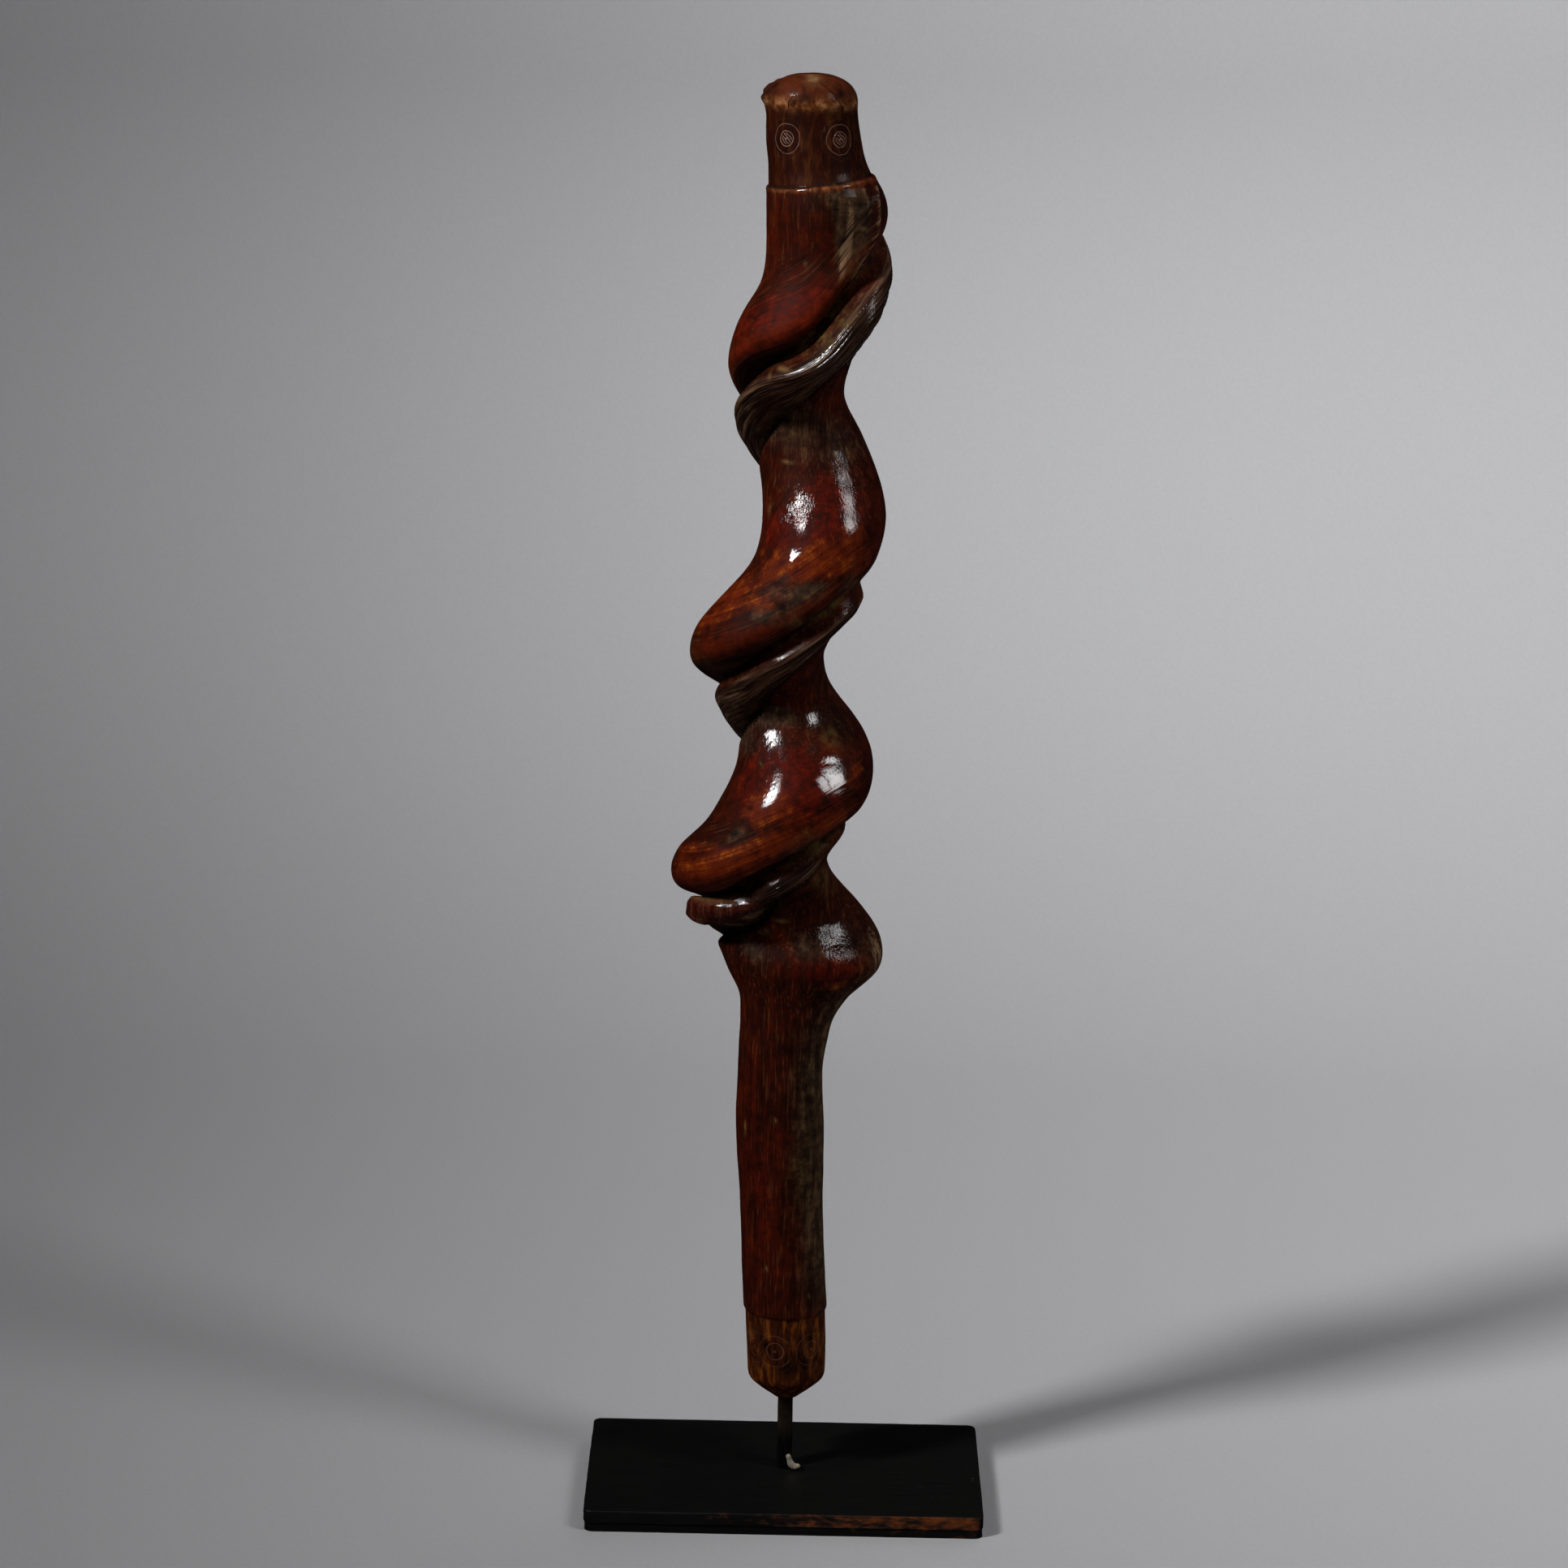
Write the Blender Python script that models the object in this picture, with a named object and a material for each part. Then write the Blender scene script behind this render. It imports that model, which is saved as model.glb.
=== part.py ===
"""A vine-twisted wooden staff standing on its display stand, in metres, +Z up.

A climbing vine squeezed the branch while it grew, so the branch swings out over
the vine in a right-handed screw. The vine lies in the crease under the swollen
side and ends in a cut stub. The head and the foot are plain, with a cut collar line.
The staff is drilled from below and stands on a square steel rod, which stands on
a sheared steel plate. The origin is the middle of the plate's underside.
"""

import math

import bmesh
import bpy
import numpy as np

# Display stand
PLATE_WIDTH = 0.1000
PLATE_DEPTH = 0.0608
PLATE_THICKNESS = 0.0056
PLATE_CORNER_RADIUS = 0.0022
PLATE_EDGE_RADIUS = 0.0004
EDGE_SEGMENTS = 4
SHARP_ANGLE = math.radians(40)
ROD_SIDE = 0.0038
ROD_EDGE_RADIUS = 0.0006
ROD_Y = 0.0008
SOCKET_RADIUS = 0.00275
SOCKET_DEPTH = 0.0160
SOCKET_SIDES = 32
FIT_GAP = 0.0003

# The drop of wax that ran down the rod's front and set with a hook on the plate
WAX_ROUTE = (
    (0.0009, -0.0023, 0.0099), (0.0013, -0.0023, 0.0087), (0.0018, -0.0023, 0.0074),
    (0.0026, -0.0024, 0.0068), (0.0034, -0.0025, 0.0069), (0.0039, -0.0024, 0.0073),
)
WAX_RADIUS = 0.0008
WAX_BLUNTNESS = 0.5
WAX_RINGS = 16
WAX_SIDES = 10

# Staff, with heights above the table
TIP_HEIGHT = 0.0253
TIP_RADIUS = 0.0032
TIP_FLARE = 1.25
TIP_ROUNDING = 0.0012
LOWER_COLLAR_HEIGHT = 0.0490
UPPER_COLLAR_HEIGHT = 0.3342
UPPER_COLLAR_RISE = 0.0015
COLLAR_DEPTH = 0.0005
COLLAR_SOFTNESS = 0.0004
DOME_FOOT_HEIGHT = 0.3522
DOME_RISE = 0.0070
DOME_FULLNESS = 2.4

# A rough knot standing out on the left just under the dome: degrees round, height, rise and half size
KNOT_AROUND = 180
KNOT_HEIGHT = 0.3545
KNOT_RISE = 0.0015
KNOT_HALF_WIDTH = 9
KNOT_HALF_HEIGHT = 0.0030

# The heights at which the swollen side faces right, front, left and back in turn, going down
QUARTER_TURN_HEIGHTS = (
    0.3190, 0.3040, 0.2910, 0.2740, 0.2535, 0.2348, 0.2190,
    0.2050, 0.1920, 0.1780, 0.1650, 0.1530, 0.1390,
)
OVALNESS = 0.08
FULL_SWING = 0.0066

# Height, middle line's x, swing of the swollen side from it, half width, depth over width
STEM = (
    (0.0300, 0.0001, 0.0000, 0.0104, 1.00),
    (0.0480, -0.0005, 0.0000, 0.0106, 1.00),
    (0.0620, -0.0013, 0.0000, 0.0104, 1.00),
    (0.0780, -0.0021, 0.0000, 0.0104, 1.00),
    (0.0940, -0.0027, 0.0000, 0.0110, 1.00),
    (0.1190, -0.0026, 0.0000, 0.0109, 1.00),
    (0.1265, -0.0023, 0.0008, 0.0117, 0.92),
    (0.1316, -0.0026, 0.0026, 0.0134, 0.82),
    (0.1390, -0.0031, 0.0052, 0.0188, 0.66),
    (0.1460, -0.0044, 0.0060, 0.0207, 0.68),
    (0.1540, -0.0038, 0.0064, 0.0202, 0.78),
    (0.1640, -0.0045, 0.0066, 0.0195, 0.90),
    (0.1700, -0.0053, 0.0065, 0.0184, 0.94),
    (0.1760, -0.0045, 0.0062, 0.0178, 0.98),
    (0.1840, -0.0047, 0.0060, 0.0174, 1.00),
    (0.1915, -0.0043, 0.0059, 0.0167, 1.00),
    (0.1990, -0.0041, 0.0062, 0.0156, 1.00),
    (0.2065, -0.0039, 0.0068, 0.0148, 1.00),
    (0.2175, -0.0029, 0.0075, 0.0159, 1.00),
    (0.2270, -0.0028, 0.0075, 0.0170, 1.00),
    (0.2334, -0.0026, 0.0074, 0.0164, 1.00),
    (0.2420, -0.0020, 0.0071, 0.0147, 1.00),
    (0.2535, -0.0018, 0.0068, 0.0149, 1.00),
    (0.2720, -0.0004, 0.0050, 0.0134, 1.00),
    (0.2820, -0.0006, 0.0046, 0.0128, 1.00),
    (0.2910, 0.0008, 0.0046, 0.0146, 1.00),
    (0.3010, 0.0001, 0.0034, 0.0154, 0.95),
    (0.3100, 0.0005, 0.0029, 0.0140, 0.95),
    (0.3190, 0.0008, 0.0028, 0.0138, 1.00),
    (0.3310, 0.0008, 0.0026, 0.0139, 1.00),
    (0.3370, 0.0005, 0.0012, 0.0124, 1.00),
    (0.3440, 0.0004, 0.0000, 0.0118, 1.00),
    (0.3520, -0.0001, 0.0000, 0.0113, 1.00),
)

# How far round the vine has wound, in degrees from the right going down, and the crease's height
CREASE = (
    (-120, 0.3400), (-60, 0.3310), (0, 0.3200), (45, 0.3120), (90, 0.2975), (135, 0.2910),
    (180, 0.2826), (270, 0.2600), (360, 0.2400), (405, 0.2365), (450, 0.2262), (495, 0.2175),
    (540, 0.2115), (630, 0.1950), (720, 0.1800), (765, 0.1765), (810, 0.1690), (855, 0.1603),
    (900, 0.1553), (980, 0.1480),
)

# Degrees wound, the crease's depth, the vine's thickness, its width, the groove below it
VINE = (
    (-120, 0.0000, 0.0000, 0.0080, 0.0000),
    (-50, 0.0020, 0.0014, 0.0120, 0.0000),
    (10, 0.0030, 0.0031, 0.0270, 0.0000),
    (50, 0.0040, 0.0050, 0.0210, 0.0000),
    (95, 0.0052, 0.0050, 0.0150, 0.0000),
    (150, 0.0050, 0.0042, 0.0148, 0.0014),
    (190, 0.0040, 0.0034, 0.0138, 0.0016),
    (235, 0.0030, 0.0016, 0.0110, 0.0006),
    (290, 0.0028, 0.0016, 0.0110, 0.0000),
    (405, 0.0018, 0.0020, 0.0110, 0.0000),
    (450, 0.0042, 0.0026, 0.0105, 0.0000),
    (540, 0.0042, 0.0024, 0.0140, 0.0016),
    (600, 0.0030, 0.0018, 0.0110, 0.0006),
    (755, 0.0024, 0.0006, 0.0100, 0.0000),
    (800, 0.0034, 0.0024, 0.0100, 0.0012),
    (850, 0.0052, 0.0034, 0.0100, 0.0030),
    (900, 0.0046, 0.0006, 0.0090, 0.0030),
    (945, 0.0020, 0.0000, 0.0100, 0.0012),
    (980, 0.0000, 0.0000, 0.0080, 0.0000),
)
CREASE_REACH_UP = 0.0036
CREASE_REACH_DOWN = 0.0016
VINE_TOP_BELOW_CREASE = 0.0030
VINE_TOP_SOFTNESS = 0.0013
VINE_RIDGE_BELOW_CREASE = 0.0055
VINE_FULLNESS = 0.6
GROOVE_BELOW_VINE = -0.0010
GROOVE_HALF_WIDTH = 0.0014
LIP_ABOVE_CREASE = 0.0060
LIP_HALF_WIDTH = 0.0040
LIP_SAG = 0.0016
LIP_SAG_ABOVE_CREASE = 0.0045
LIP_SAG_HALF_WIDTH = 0.0032
LIP_SWELL = 0.0010

# The vine's cut end leaves the stem: degrees wound, height and reach, from its root to its end
STUB_PATH = ((88, 0.1642, 0.0142), (128, 0.1577, 0.0168), (170, 0.1546, 0.0212))
STUB_MIDDLE_X = -0.0043
STUB_HALF_HEIGHT = 0.0037
STUB_HALF_THICKNESS = 0.0034
STUB_ROOT_SIZE = 0.35
STUB_FULL_FROM = 0.7
STUB_BLUNTNESS = 0.4
STUB_LUMP = 0.08
STUB_LUMP_TURN = 9
STUB_RINGS = 16
STUB_SIDES = 16

COLUMNS = 96
ROW_SPACING = 0.0009
DOME_ROWS = 12
STAFF_FACES_KEPT = 0.12


def through(stations, at):
    """The values at `at` of a smooth line through (place, value) stations, level past both ends."""
    place, value = np.array(stations, float).T
    slope = np.gradient(value, place)
    slope[[0, -1]] = 0
    left = np.clip(np.searchsorted(place, at) - 1, 0, len(place) - 2)
    span = place[left + 1] - place[left]
    t = np.clip((at - place[left]) / span, 0, 1)
    rise = value[left + 1] - value[left]
    ease = t * t * (3 - 2 * t)
    leave = t * (1 - t) ** 2 * span * slope[left]
    arrive = t * t * (1 - t) * span * slope[left + 1]
    return value[left] + rise * ease + leave - arrive


def column_of(table, index):
    return [(row[0], row[index]) for row in table]


def hump(distance, half_width):
    return np.exp(-((distance / half_width) ** 2))


def step_up(distance, softness):
    """0 well below zero distance, 1 well above it."""
    return 0.5 + 0.5 * np.tanh(distance / softness)


def soft_min(a, b, blend):
    return 0.5 * (a + b - np.sqrt((a - b) ** 2 + blend**2))


def winding(height):
    """How far the swollen side has wound round at a height, in radians from the right."""
    turns = [(h, i * math.pi / 2) for i, h in enumerate(QUARTER_TURN_HEIGHTS)]
    return through(turns[::-1], height)


def row_heights():
    body = np.arange(TIP_HEIGHT, DOME_FOOT_HEIGHT, ROW_SPACING)
    climb = np.arange(DOME_ROWS) / DOME_ROWS * math.pi / 2
    return np.concatenate([body, DOME_FOOT_HEIGHT + DOME_RISE * np.sin(climb)])


def stem_points(heights, columns):
    """The bare stem: each row an oval whose middle swings round with the screw."""
    z = heights[:, None] * np.ones(columns)
    around = np.arange(columns) / columns * 2 * math.pi
    middle = through(column_of(STEM, 1), z)
    swing = through(column_of(STEM, 2), z)
    half = through(column_of(STEM, 3), z)
    wound = winding(z)
    above = step_up(z - UPPER_COLLAR_HEIGHT - UPPER_COLLAR_RISE * np.cos(around), COLLAR_SOFTNESS)
    below = step_up(LOWER_COLLAR_HEIGHT - z, COLLAR_SOFTNESS)
    half = half - COLLAR_DEPTH * (above + below)
    half = soft_min(half, TIP_RADIUS + TIP_FLARE * (z - TIP_HEIGHT), TIP_ROUNDING)
    climb = np.clip((z - DOME_FOOT_HEIGHT) / DOME_RISE, 0, 1)
    half = half * (1 - climb**DOME_FULLNESS) ** (1 / DOME_FULLNESS)
    depth = half * through(column_of(STEM, 4), z) * (1 + OVALNESS * np.cos(2 * wound) * swing / FULL_SWING)
    x = middle + swing * np.cos(wound) + half * np.cos(around)
    y = depth * np.sin(around) - swing * np.sin(wound)
    return x, y, z, middle, around


def staff_surface(heights, columns):
    """The stem with the vine and its crease drawn on it."""
    x, y, z, middle, around = stem_points(heights, columns)
    place = -np.arctan2(y, x - middle)
    out = np.zeros_like(z)
    sag = np.zeros_like(z)
    first = math.floor(math.radians(CREASE[0][0]) / (2 * math.pi))
    last = math.ceil(math.radians(CREASE[-1][0]) / (2 * math.pi))
    for turn in range(first, last + 1):
        wound = np.degrees(place) + 360 * turn
        below = through(CREASE, wound) - z
        crease, thickness, width, groove = (
            through(column_of(VINE, index), wound) for index in range(1, 5)
        )
        strength = crease / max(row[1] for row in VINE)
        rise = step_up(below - VINE_TOP_BELOW_CREASE, VINE_TOP_SOFTNESS)
        past_ridge = np.clip((below - VINE_RIDGE_BELOW_CREASE) / (width - VINE_RIDGE_BELOW_CREASE), 0, 1)
        fall = (0.5 + 0.5 * np.cos(math.pi * past_ridge)) ** VINE_FULLNESS
        out -= crease * hump(below, np.where(below < 0, CREASE_REACH_UP, CREASE_REACH_DOWN))
        out += thickness * rise * fall
        out -= groove * hump(below - width - GROOVE_BELOW_VINE, GROOVE_HALF_WIDTH)
        out += LIP_SWELL * strength * hump(below + LIP_ABOVE_CREASE, LIP_HALF_WIDTH)
        sag += LIP_SAG * strength * hump(below + LIP_SAG_ABOVE_CREASE, LIP_SAG_HALF_WIDTH)
    knot = hump(np.degrees(around) - KNOT_AROUND, KNOT_HALF_WIDTH) * hump(z - KNOT_HEIGHT, KNOT_HALF_HEIGHT)
    out += KNOT_RISE * knot
    x = x + out * np.cos(around)
    y = y + out * np.sin(around)
    return np.stack([x, y + ROD_Y, z - sag], axis=-1)


def along_route(route, share):
    """The values of each column of a route at shares of its length, from 0 at its start to 1 at its end."""
    at = share * (len(route) - 1)
    return [through([(i, row[column]) for i, row in enumerate(route)], at) for column in range(len(route[0]))]


def tube_round(spot, tall, thick, sides):
    """Rings round the points of a path, `tall` upwards and `thick` sideways."""
    forward = np.gradient(spot, axis=0)
    forward /= np.linalg.norm(forward, axis=1, keepdims=True)
    side = np.cross(forward, (0, 0, 1))
    side /= np.linalg.norm(side, axis=1, keepdims=True)
    up = np.cross(side, forward)
    around = np.arange(sides) / sides * 2 * math.pi
    sideways = thick[..., None] * np.cos(around)[:, None] * side[:, None]
    upwards = tall[..., None] * np.sin(around)[:, None] * up[:, None]
    return spot[:, None] + sideways + upwards


def stub_surface(rings, sides):
    """The vine's cut end: an oval bar with blunt, slightly lumpy ends."""
    swept = np.linspace(-math.pi / 2, math.pi / 2, rings + 2)[1:-1]
    along = 0.5 + 0.5 * np.sin(swept)
    wound, height, reach = along_route(STUB_PATH, along)
    angle = -np.radians(wound)
    spot = np.stack([STUB_MIDDLE_X + reach * np.cos(angle), ROD_Y + reach * np.sin(angle), height], axis=-1)
    around = np.arange(sides) / sides * 2 * math.pi
    lump = 1 + STUB_LUMP * np.sin(3 * around + STUB_LUMP_TURN * along[:, None])
    taper = np.interp(along, (0, STUB_FULL_FROM), (STUB_ROOT_SIZE, 1))
    size = (taper * np.cos(swept) ** STUB_BLUNTNESS)[:, None] * lump
    return tube_round(spot, STUB_HALF_HEIGHT * size, STUB_HALF_THICKNESS * size, sides)


def wax_surface(rings, sides):
    """The drop of wax: a round tube along its route, just clear of the rod and the plate."""
    swept = np.linspace(-math.pi / 2, math.pi / 2, rings + 2)[1:-1]
    spot = np.stack(along_route(WAX_ROUTE, 0.5 + 0.5 * np.sin(swept)), axis=-1)
    size = WAX_RADIUS * np.cos(swept)[:, None] ** WAX_BLUNTNESS * np.ones(sides)
    return tube_round(spot, size, size, sides)


def new_object(name, mesh, looks=None):
    made = bpy.data.objects.new(name, mesh)
    bpy.context.scene.collection.objects.link(made)
    if looks:
        mesh.materials.append(looks)
    return made


def skin(name, rings, looks=None):
    """An object whose faces join rings of points, closed to a pole at both ends."""
    mesh = bpy.data.meshes.new(name)
    body = bmesh.new()
    rows = [[body.verts.new(spot) for spot in ring] for ring in rings]
    first = body.verts.new(rings[0].mean(axis=0))
    last = body.verts.new(rings[-1].mean(axis=0))
    columns = len(rows[0])
    for near, far in zip(rows, rows[1:]):
        for i in range(columns):
            j = (i + 1) % columns
            body.faces.new((near[i], near[j], far[j], far[i]))
    for i in range(columns):
        j = (i + 1) % columns
        body.faces.new((first, rows[0][j], rows[0][i]))
        body.faces.new((last, rows[-1][i], rows[-1][j]))
    bmesh.ops.recalc_face_normals(body, faces=body.faces)
    body.to_mesh(mesh)
    body.free()
    mesh.shade_smooth()
    return new_object(name, mesh, looks)


def as_tool(made):
    """A piece that only cuts or joins another one isn't rendered."""
    made.hide_render = True
    made.display_type = "WIRE"
    return made


def add_boolean(target, tool, operation):
    step = target.modifiers.new(tool.name, "BOOLEAN")
    step.operation = operation
    step.object = tool
    step.solver = "EXACT"


def box(name, sides, bottom, y, looks):
    """A box standing on `bottom`, its middle at x = 0 and `y`."""
    mesh = bpy.data.meshes.new(name)
    body = bmesh.new()
    bmesh.ops.create_cube(body, size=1)
    bmesh.ops.scale(body, vec=sides, verts=body.verts)
    body.to_mesh(mesh)
    body.free()
    made = new_object(name, mesh, looks)
    made.location = (0, y, bottom + sides[2] / 2)
    return made


def round_upright_edges(made, radius):
    body = bmesh.new()
    body.from_mesh(made.data)
    upright = [e for e in body.edges if abs(e.verts[0].co.z - e.verts[1].co.z) > radius]
    bmesh.ops.bevel(body, geom=upright, offset=radius, segments=EDGE_SEGMENTS, affect="EDGES", profile=0.5)
    body.to_mesh(made.data)
    body.free()


def soften_edges(made, radius):
    step = made.modifiers.new("soft edges", "BEVEL")
    step.width = radius
    step.segments = EDGE_SEGMENTS
    step.limit_method = "ANGLE"
    step.angle_limit = SHARP_ANGLE


def material(name, colour, roughness, metallic):
    made = bpy.data.materials.new(name)
    made.use_nodes = True
    shader = made.node_tree.nodes["Principled BSDF"]
    shader.inputs["Base Color"].default_value = (*colour, 1)
    shader.inputs["Roughness"].default_value = roughness
    shader.inputs["Metallic"].default_value = metallic
    made.diffuse_color = (*colour, 1)
    return made


def make_staff():
    looks = material("polished red-brown wood", (0.115, 0.030, 0.012), 0.25, 0.0)
    staff = skin("staff", staff_surface(row_heights(), COLUMNS), looks)
    thin = staff.modifiers.new("fewer faces", "DECIMATE")
    thin.ratio = STAFF_FACES_KEPT
    stub = as_tool(skin("vine stub", stub_surface(STUB_RINGS, STUB_SIDES)))
    add_boolean(staff, stub, "UNION")
    mesh = bpy.data.meshes.new("socket")
    body = bmesh.new()
    bmesh.ops.create_cone(
        body, cap_ends=True, segments=SOCKET_SIDES,
        radius1=SOCKET_RADIUS, radius2=SOCKET_RADIUS, depth=2 * SOCKET_DEPTH,
    )
    body.to_mesh(mesh)
    body.free()
    socket = as_tool(new_object("socket", mesh))
    socket.location = (0, ROD_Y, TIP_HEIGHT)
    add_boolean(staff, socket, "DIFFERENCE")


def make_rod():
    looks = material("browned steel rod", (0.045, 0.032, 0.024), 0.45, 0.9)
    foot = PLATE_THICKNESS + FIT_GAP
    top = TIP_HEIGHT + SOCKET_DEPTH - FIT_GAP
    rod = box("stand_rod", (ROD_SIDE, ROD_SIDE, top - foot), foot, ROD_Y, looks)
    round_upright_edges(rod, ROD_EDGE_RADIUS)


def make_plate():
    looks = material("black painted steel plate", (0.018, 0.018, 0.019), 0.4, 0.3)
    plate = box("stand_plate", (PLATE_WIDTH, PLATE_DEPTH, PLATE_THICKNESS), 0, 0, looks)
    round_upright_edges(plate, PLATE_CORNER_RADIUS)
    soften_edges(plate, PLATE_EDGE_RADIUS)


def make_wax():
    looks = material("grey wax", (0.25, 0.24, 0.22), 0.5, 0.0)
    skin("wax_bead", wax_surface(WAX_RINGS, WAX_SIDES), looks)


def main():
    for old in list(bpy.data.objects):
        bpy.data.objects.remove(old, do_unlink=True)
    make_plate()
    make_rod()
    make_staff()
    make_wax()


if __name__ == "__main__":
    main()
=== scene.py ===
# %% [markdown]
# # A staff that a vine squeezed into a screw
# The real object is a short hardwood branch, about 33 cm long. While it grew, a climbing vine held it tight,
# and the branch swelled out over the vine in a right-handed screw. Later the vine was cut off at a stub, the
# head and the foot were turned plain, small circle-and-dot marks were scratched in, and the whole was
# polished to a deep red-brown. It stands on a square steel rod that is set on a sheared steel plate.
#
# This lesson dresses that staff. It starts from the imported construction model, which fixes every size and
# place.

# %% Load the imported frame
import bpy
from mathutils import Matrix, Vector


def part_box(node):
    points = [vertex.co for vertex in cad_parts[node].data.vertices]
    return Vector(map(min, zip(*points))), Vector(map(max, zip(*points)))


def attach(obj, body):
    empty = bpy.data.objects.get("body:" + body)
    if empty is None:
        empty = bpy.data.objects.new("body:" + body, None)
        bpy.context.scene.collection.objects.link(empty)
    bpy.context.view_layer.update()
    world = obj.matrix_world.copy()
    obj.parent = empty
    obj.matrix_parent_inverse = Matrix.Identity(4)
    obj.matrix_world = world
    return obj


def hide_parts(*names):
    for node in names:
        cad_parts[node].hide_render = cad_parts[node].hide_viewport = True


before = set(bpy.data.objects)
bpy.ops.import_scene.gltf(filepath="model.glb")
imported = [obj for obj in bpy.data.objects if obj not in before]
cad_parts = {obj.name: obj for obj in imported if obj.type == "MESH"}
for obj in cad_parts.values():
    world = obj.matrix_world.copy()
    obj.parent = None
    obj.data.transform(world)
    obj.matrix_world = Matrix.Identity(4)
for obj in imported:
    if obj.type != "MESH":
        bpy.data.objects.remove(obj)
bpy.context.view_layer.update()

# %% Modules and two ways to begin a step
import math

import bpy
import numpy as np
from mathutils import Matrix, Vector, noise
from mathutils.kdtree import KDTree

MM = 0.001


def start_clean():
    """Back to object mode with nothing selected, so that no operator touches another piece."""
    if bpy.context.object and bpy.context.object.mode != "OBJECT":
        bpy.ops.object.mode_set(mode="OBJECT")
    bpy.ops.object.select_all(action="DESELECT")


def pick(piece):
    """Makes one piece the only one that is selected, and the active one."""
    start_clean()
    piece.select_set(True)
    bpy.context.view_layer.objects.active = piece


start_clean()
print("pieces of the frame:", sorted(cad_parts))

# %% [markdown]
# ## The camera
# A long lens, about a metre away and a little above, looks down at the staff by 14 degrees and leans by about
# one degree. A matrix is built from the three directions that the camera's own axes point in. Setting
# angles one by one would work too, but the directions can be read and checked.

# %% Camera
CAMERA_SPOT = Vector((-0.0035, -1.0674, 0.4570))
LOOKS_DOWN = math.radians(14.256)
LEANS = math.radians(1.151)
SENSOR_WIDTH = 36.0
LENS = 102.81

forward = Vector((0, math.cos(LOOKS_DOWN), -math.sin(LOOKS_DOWN)))
level = Vector((1, 0, 0))
upright = level.cross(forward)
right = level * math.cos(LEANS) + upright * math.sin(LEANS)
up = upright * math.cos(LEANS) - level * math.sin(LEANS)

bpy.ops.object.camera_add(location=CAMERA_SPOT)
camera = bpy.context.object
camera.name = "camera"
camera.data.sensor_width = SENSOR_WIDTH
camera.data.lens = LENS
camera.data.clip_start = 0.05
camera.matrix_world = Matrix.Translation(CAMERA_SPOT) @ Matrix((right, up, -forward)).transposed().to_4x4()
bpy.context.scene.camera = camera
print("the camera looks along", [round(value, 3) for value in forward])

# %% [markdown]
# ## The main form, from the same named sizes as the construction model
# The branch is a stack of ovals whose middles swing round as the height changes. The crease is a line that
# winds down round it, and everything else is measured as a distance below that line: the lip above it,
# the vine in it, the groove under the vine. Sculpting by hand could give the same form, but a rule keeps the
# fine skin and the construction model together to a fraction of a millimetre.

# %% Sizes of the main form, in metres
ROD_Y = 0.0008
SOCKET_RADIUS = 0.00275
SOCKET_DEPTH = 0.0160

TIP_HEIGHT = 0.0253
TIP_RADIUS = 0.0032
TIP_FLARE = 1.25
TIP_ROUNDING = 0.0012
LOWER_COLLAR_HEIGHT = 0.0490
UPPER_COLLAR_HEIGHT = 0.3342
UPPER_COLLAR_RISE = 0.0015
COLLAR_DEPTH = 0.0005
COLLAR_SOFTNESS = 0.0004
DOME_FOOT_HEIGHT = 0.3522
DOME_RISE = 0.0070
DOME_FULLNESS = 2.4

KNOT_AROUND = 180
KNOT_HEIGHT = 0.3545
KNOT_RISE = 0.0015
KNOT_HALF_WIDTH = 9
KNOT_HALF_HEIGHT = 0.0030

# The heights at which the swollen side faces right, front, left and back in turn, going down
QUARTER_TURN_HEIGHTS = (
    0.3190, 0.3040, 0.2910, 0.2740, 0.2535, 0.2348, 0.2190,
    0.2050, 0.1920, 0.1780, 0.1650, 0.1530, 0.1390,
)
OVALNESS = 0.08
FULL_SWING = 0.0066

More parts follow.
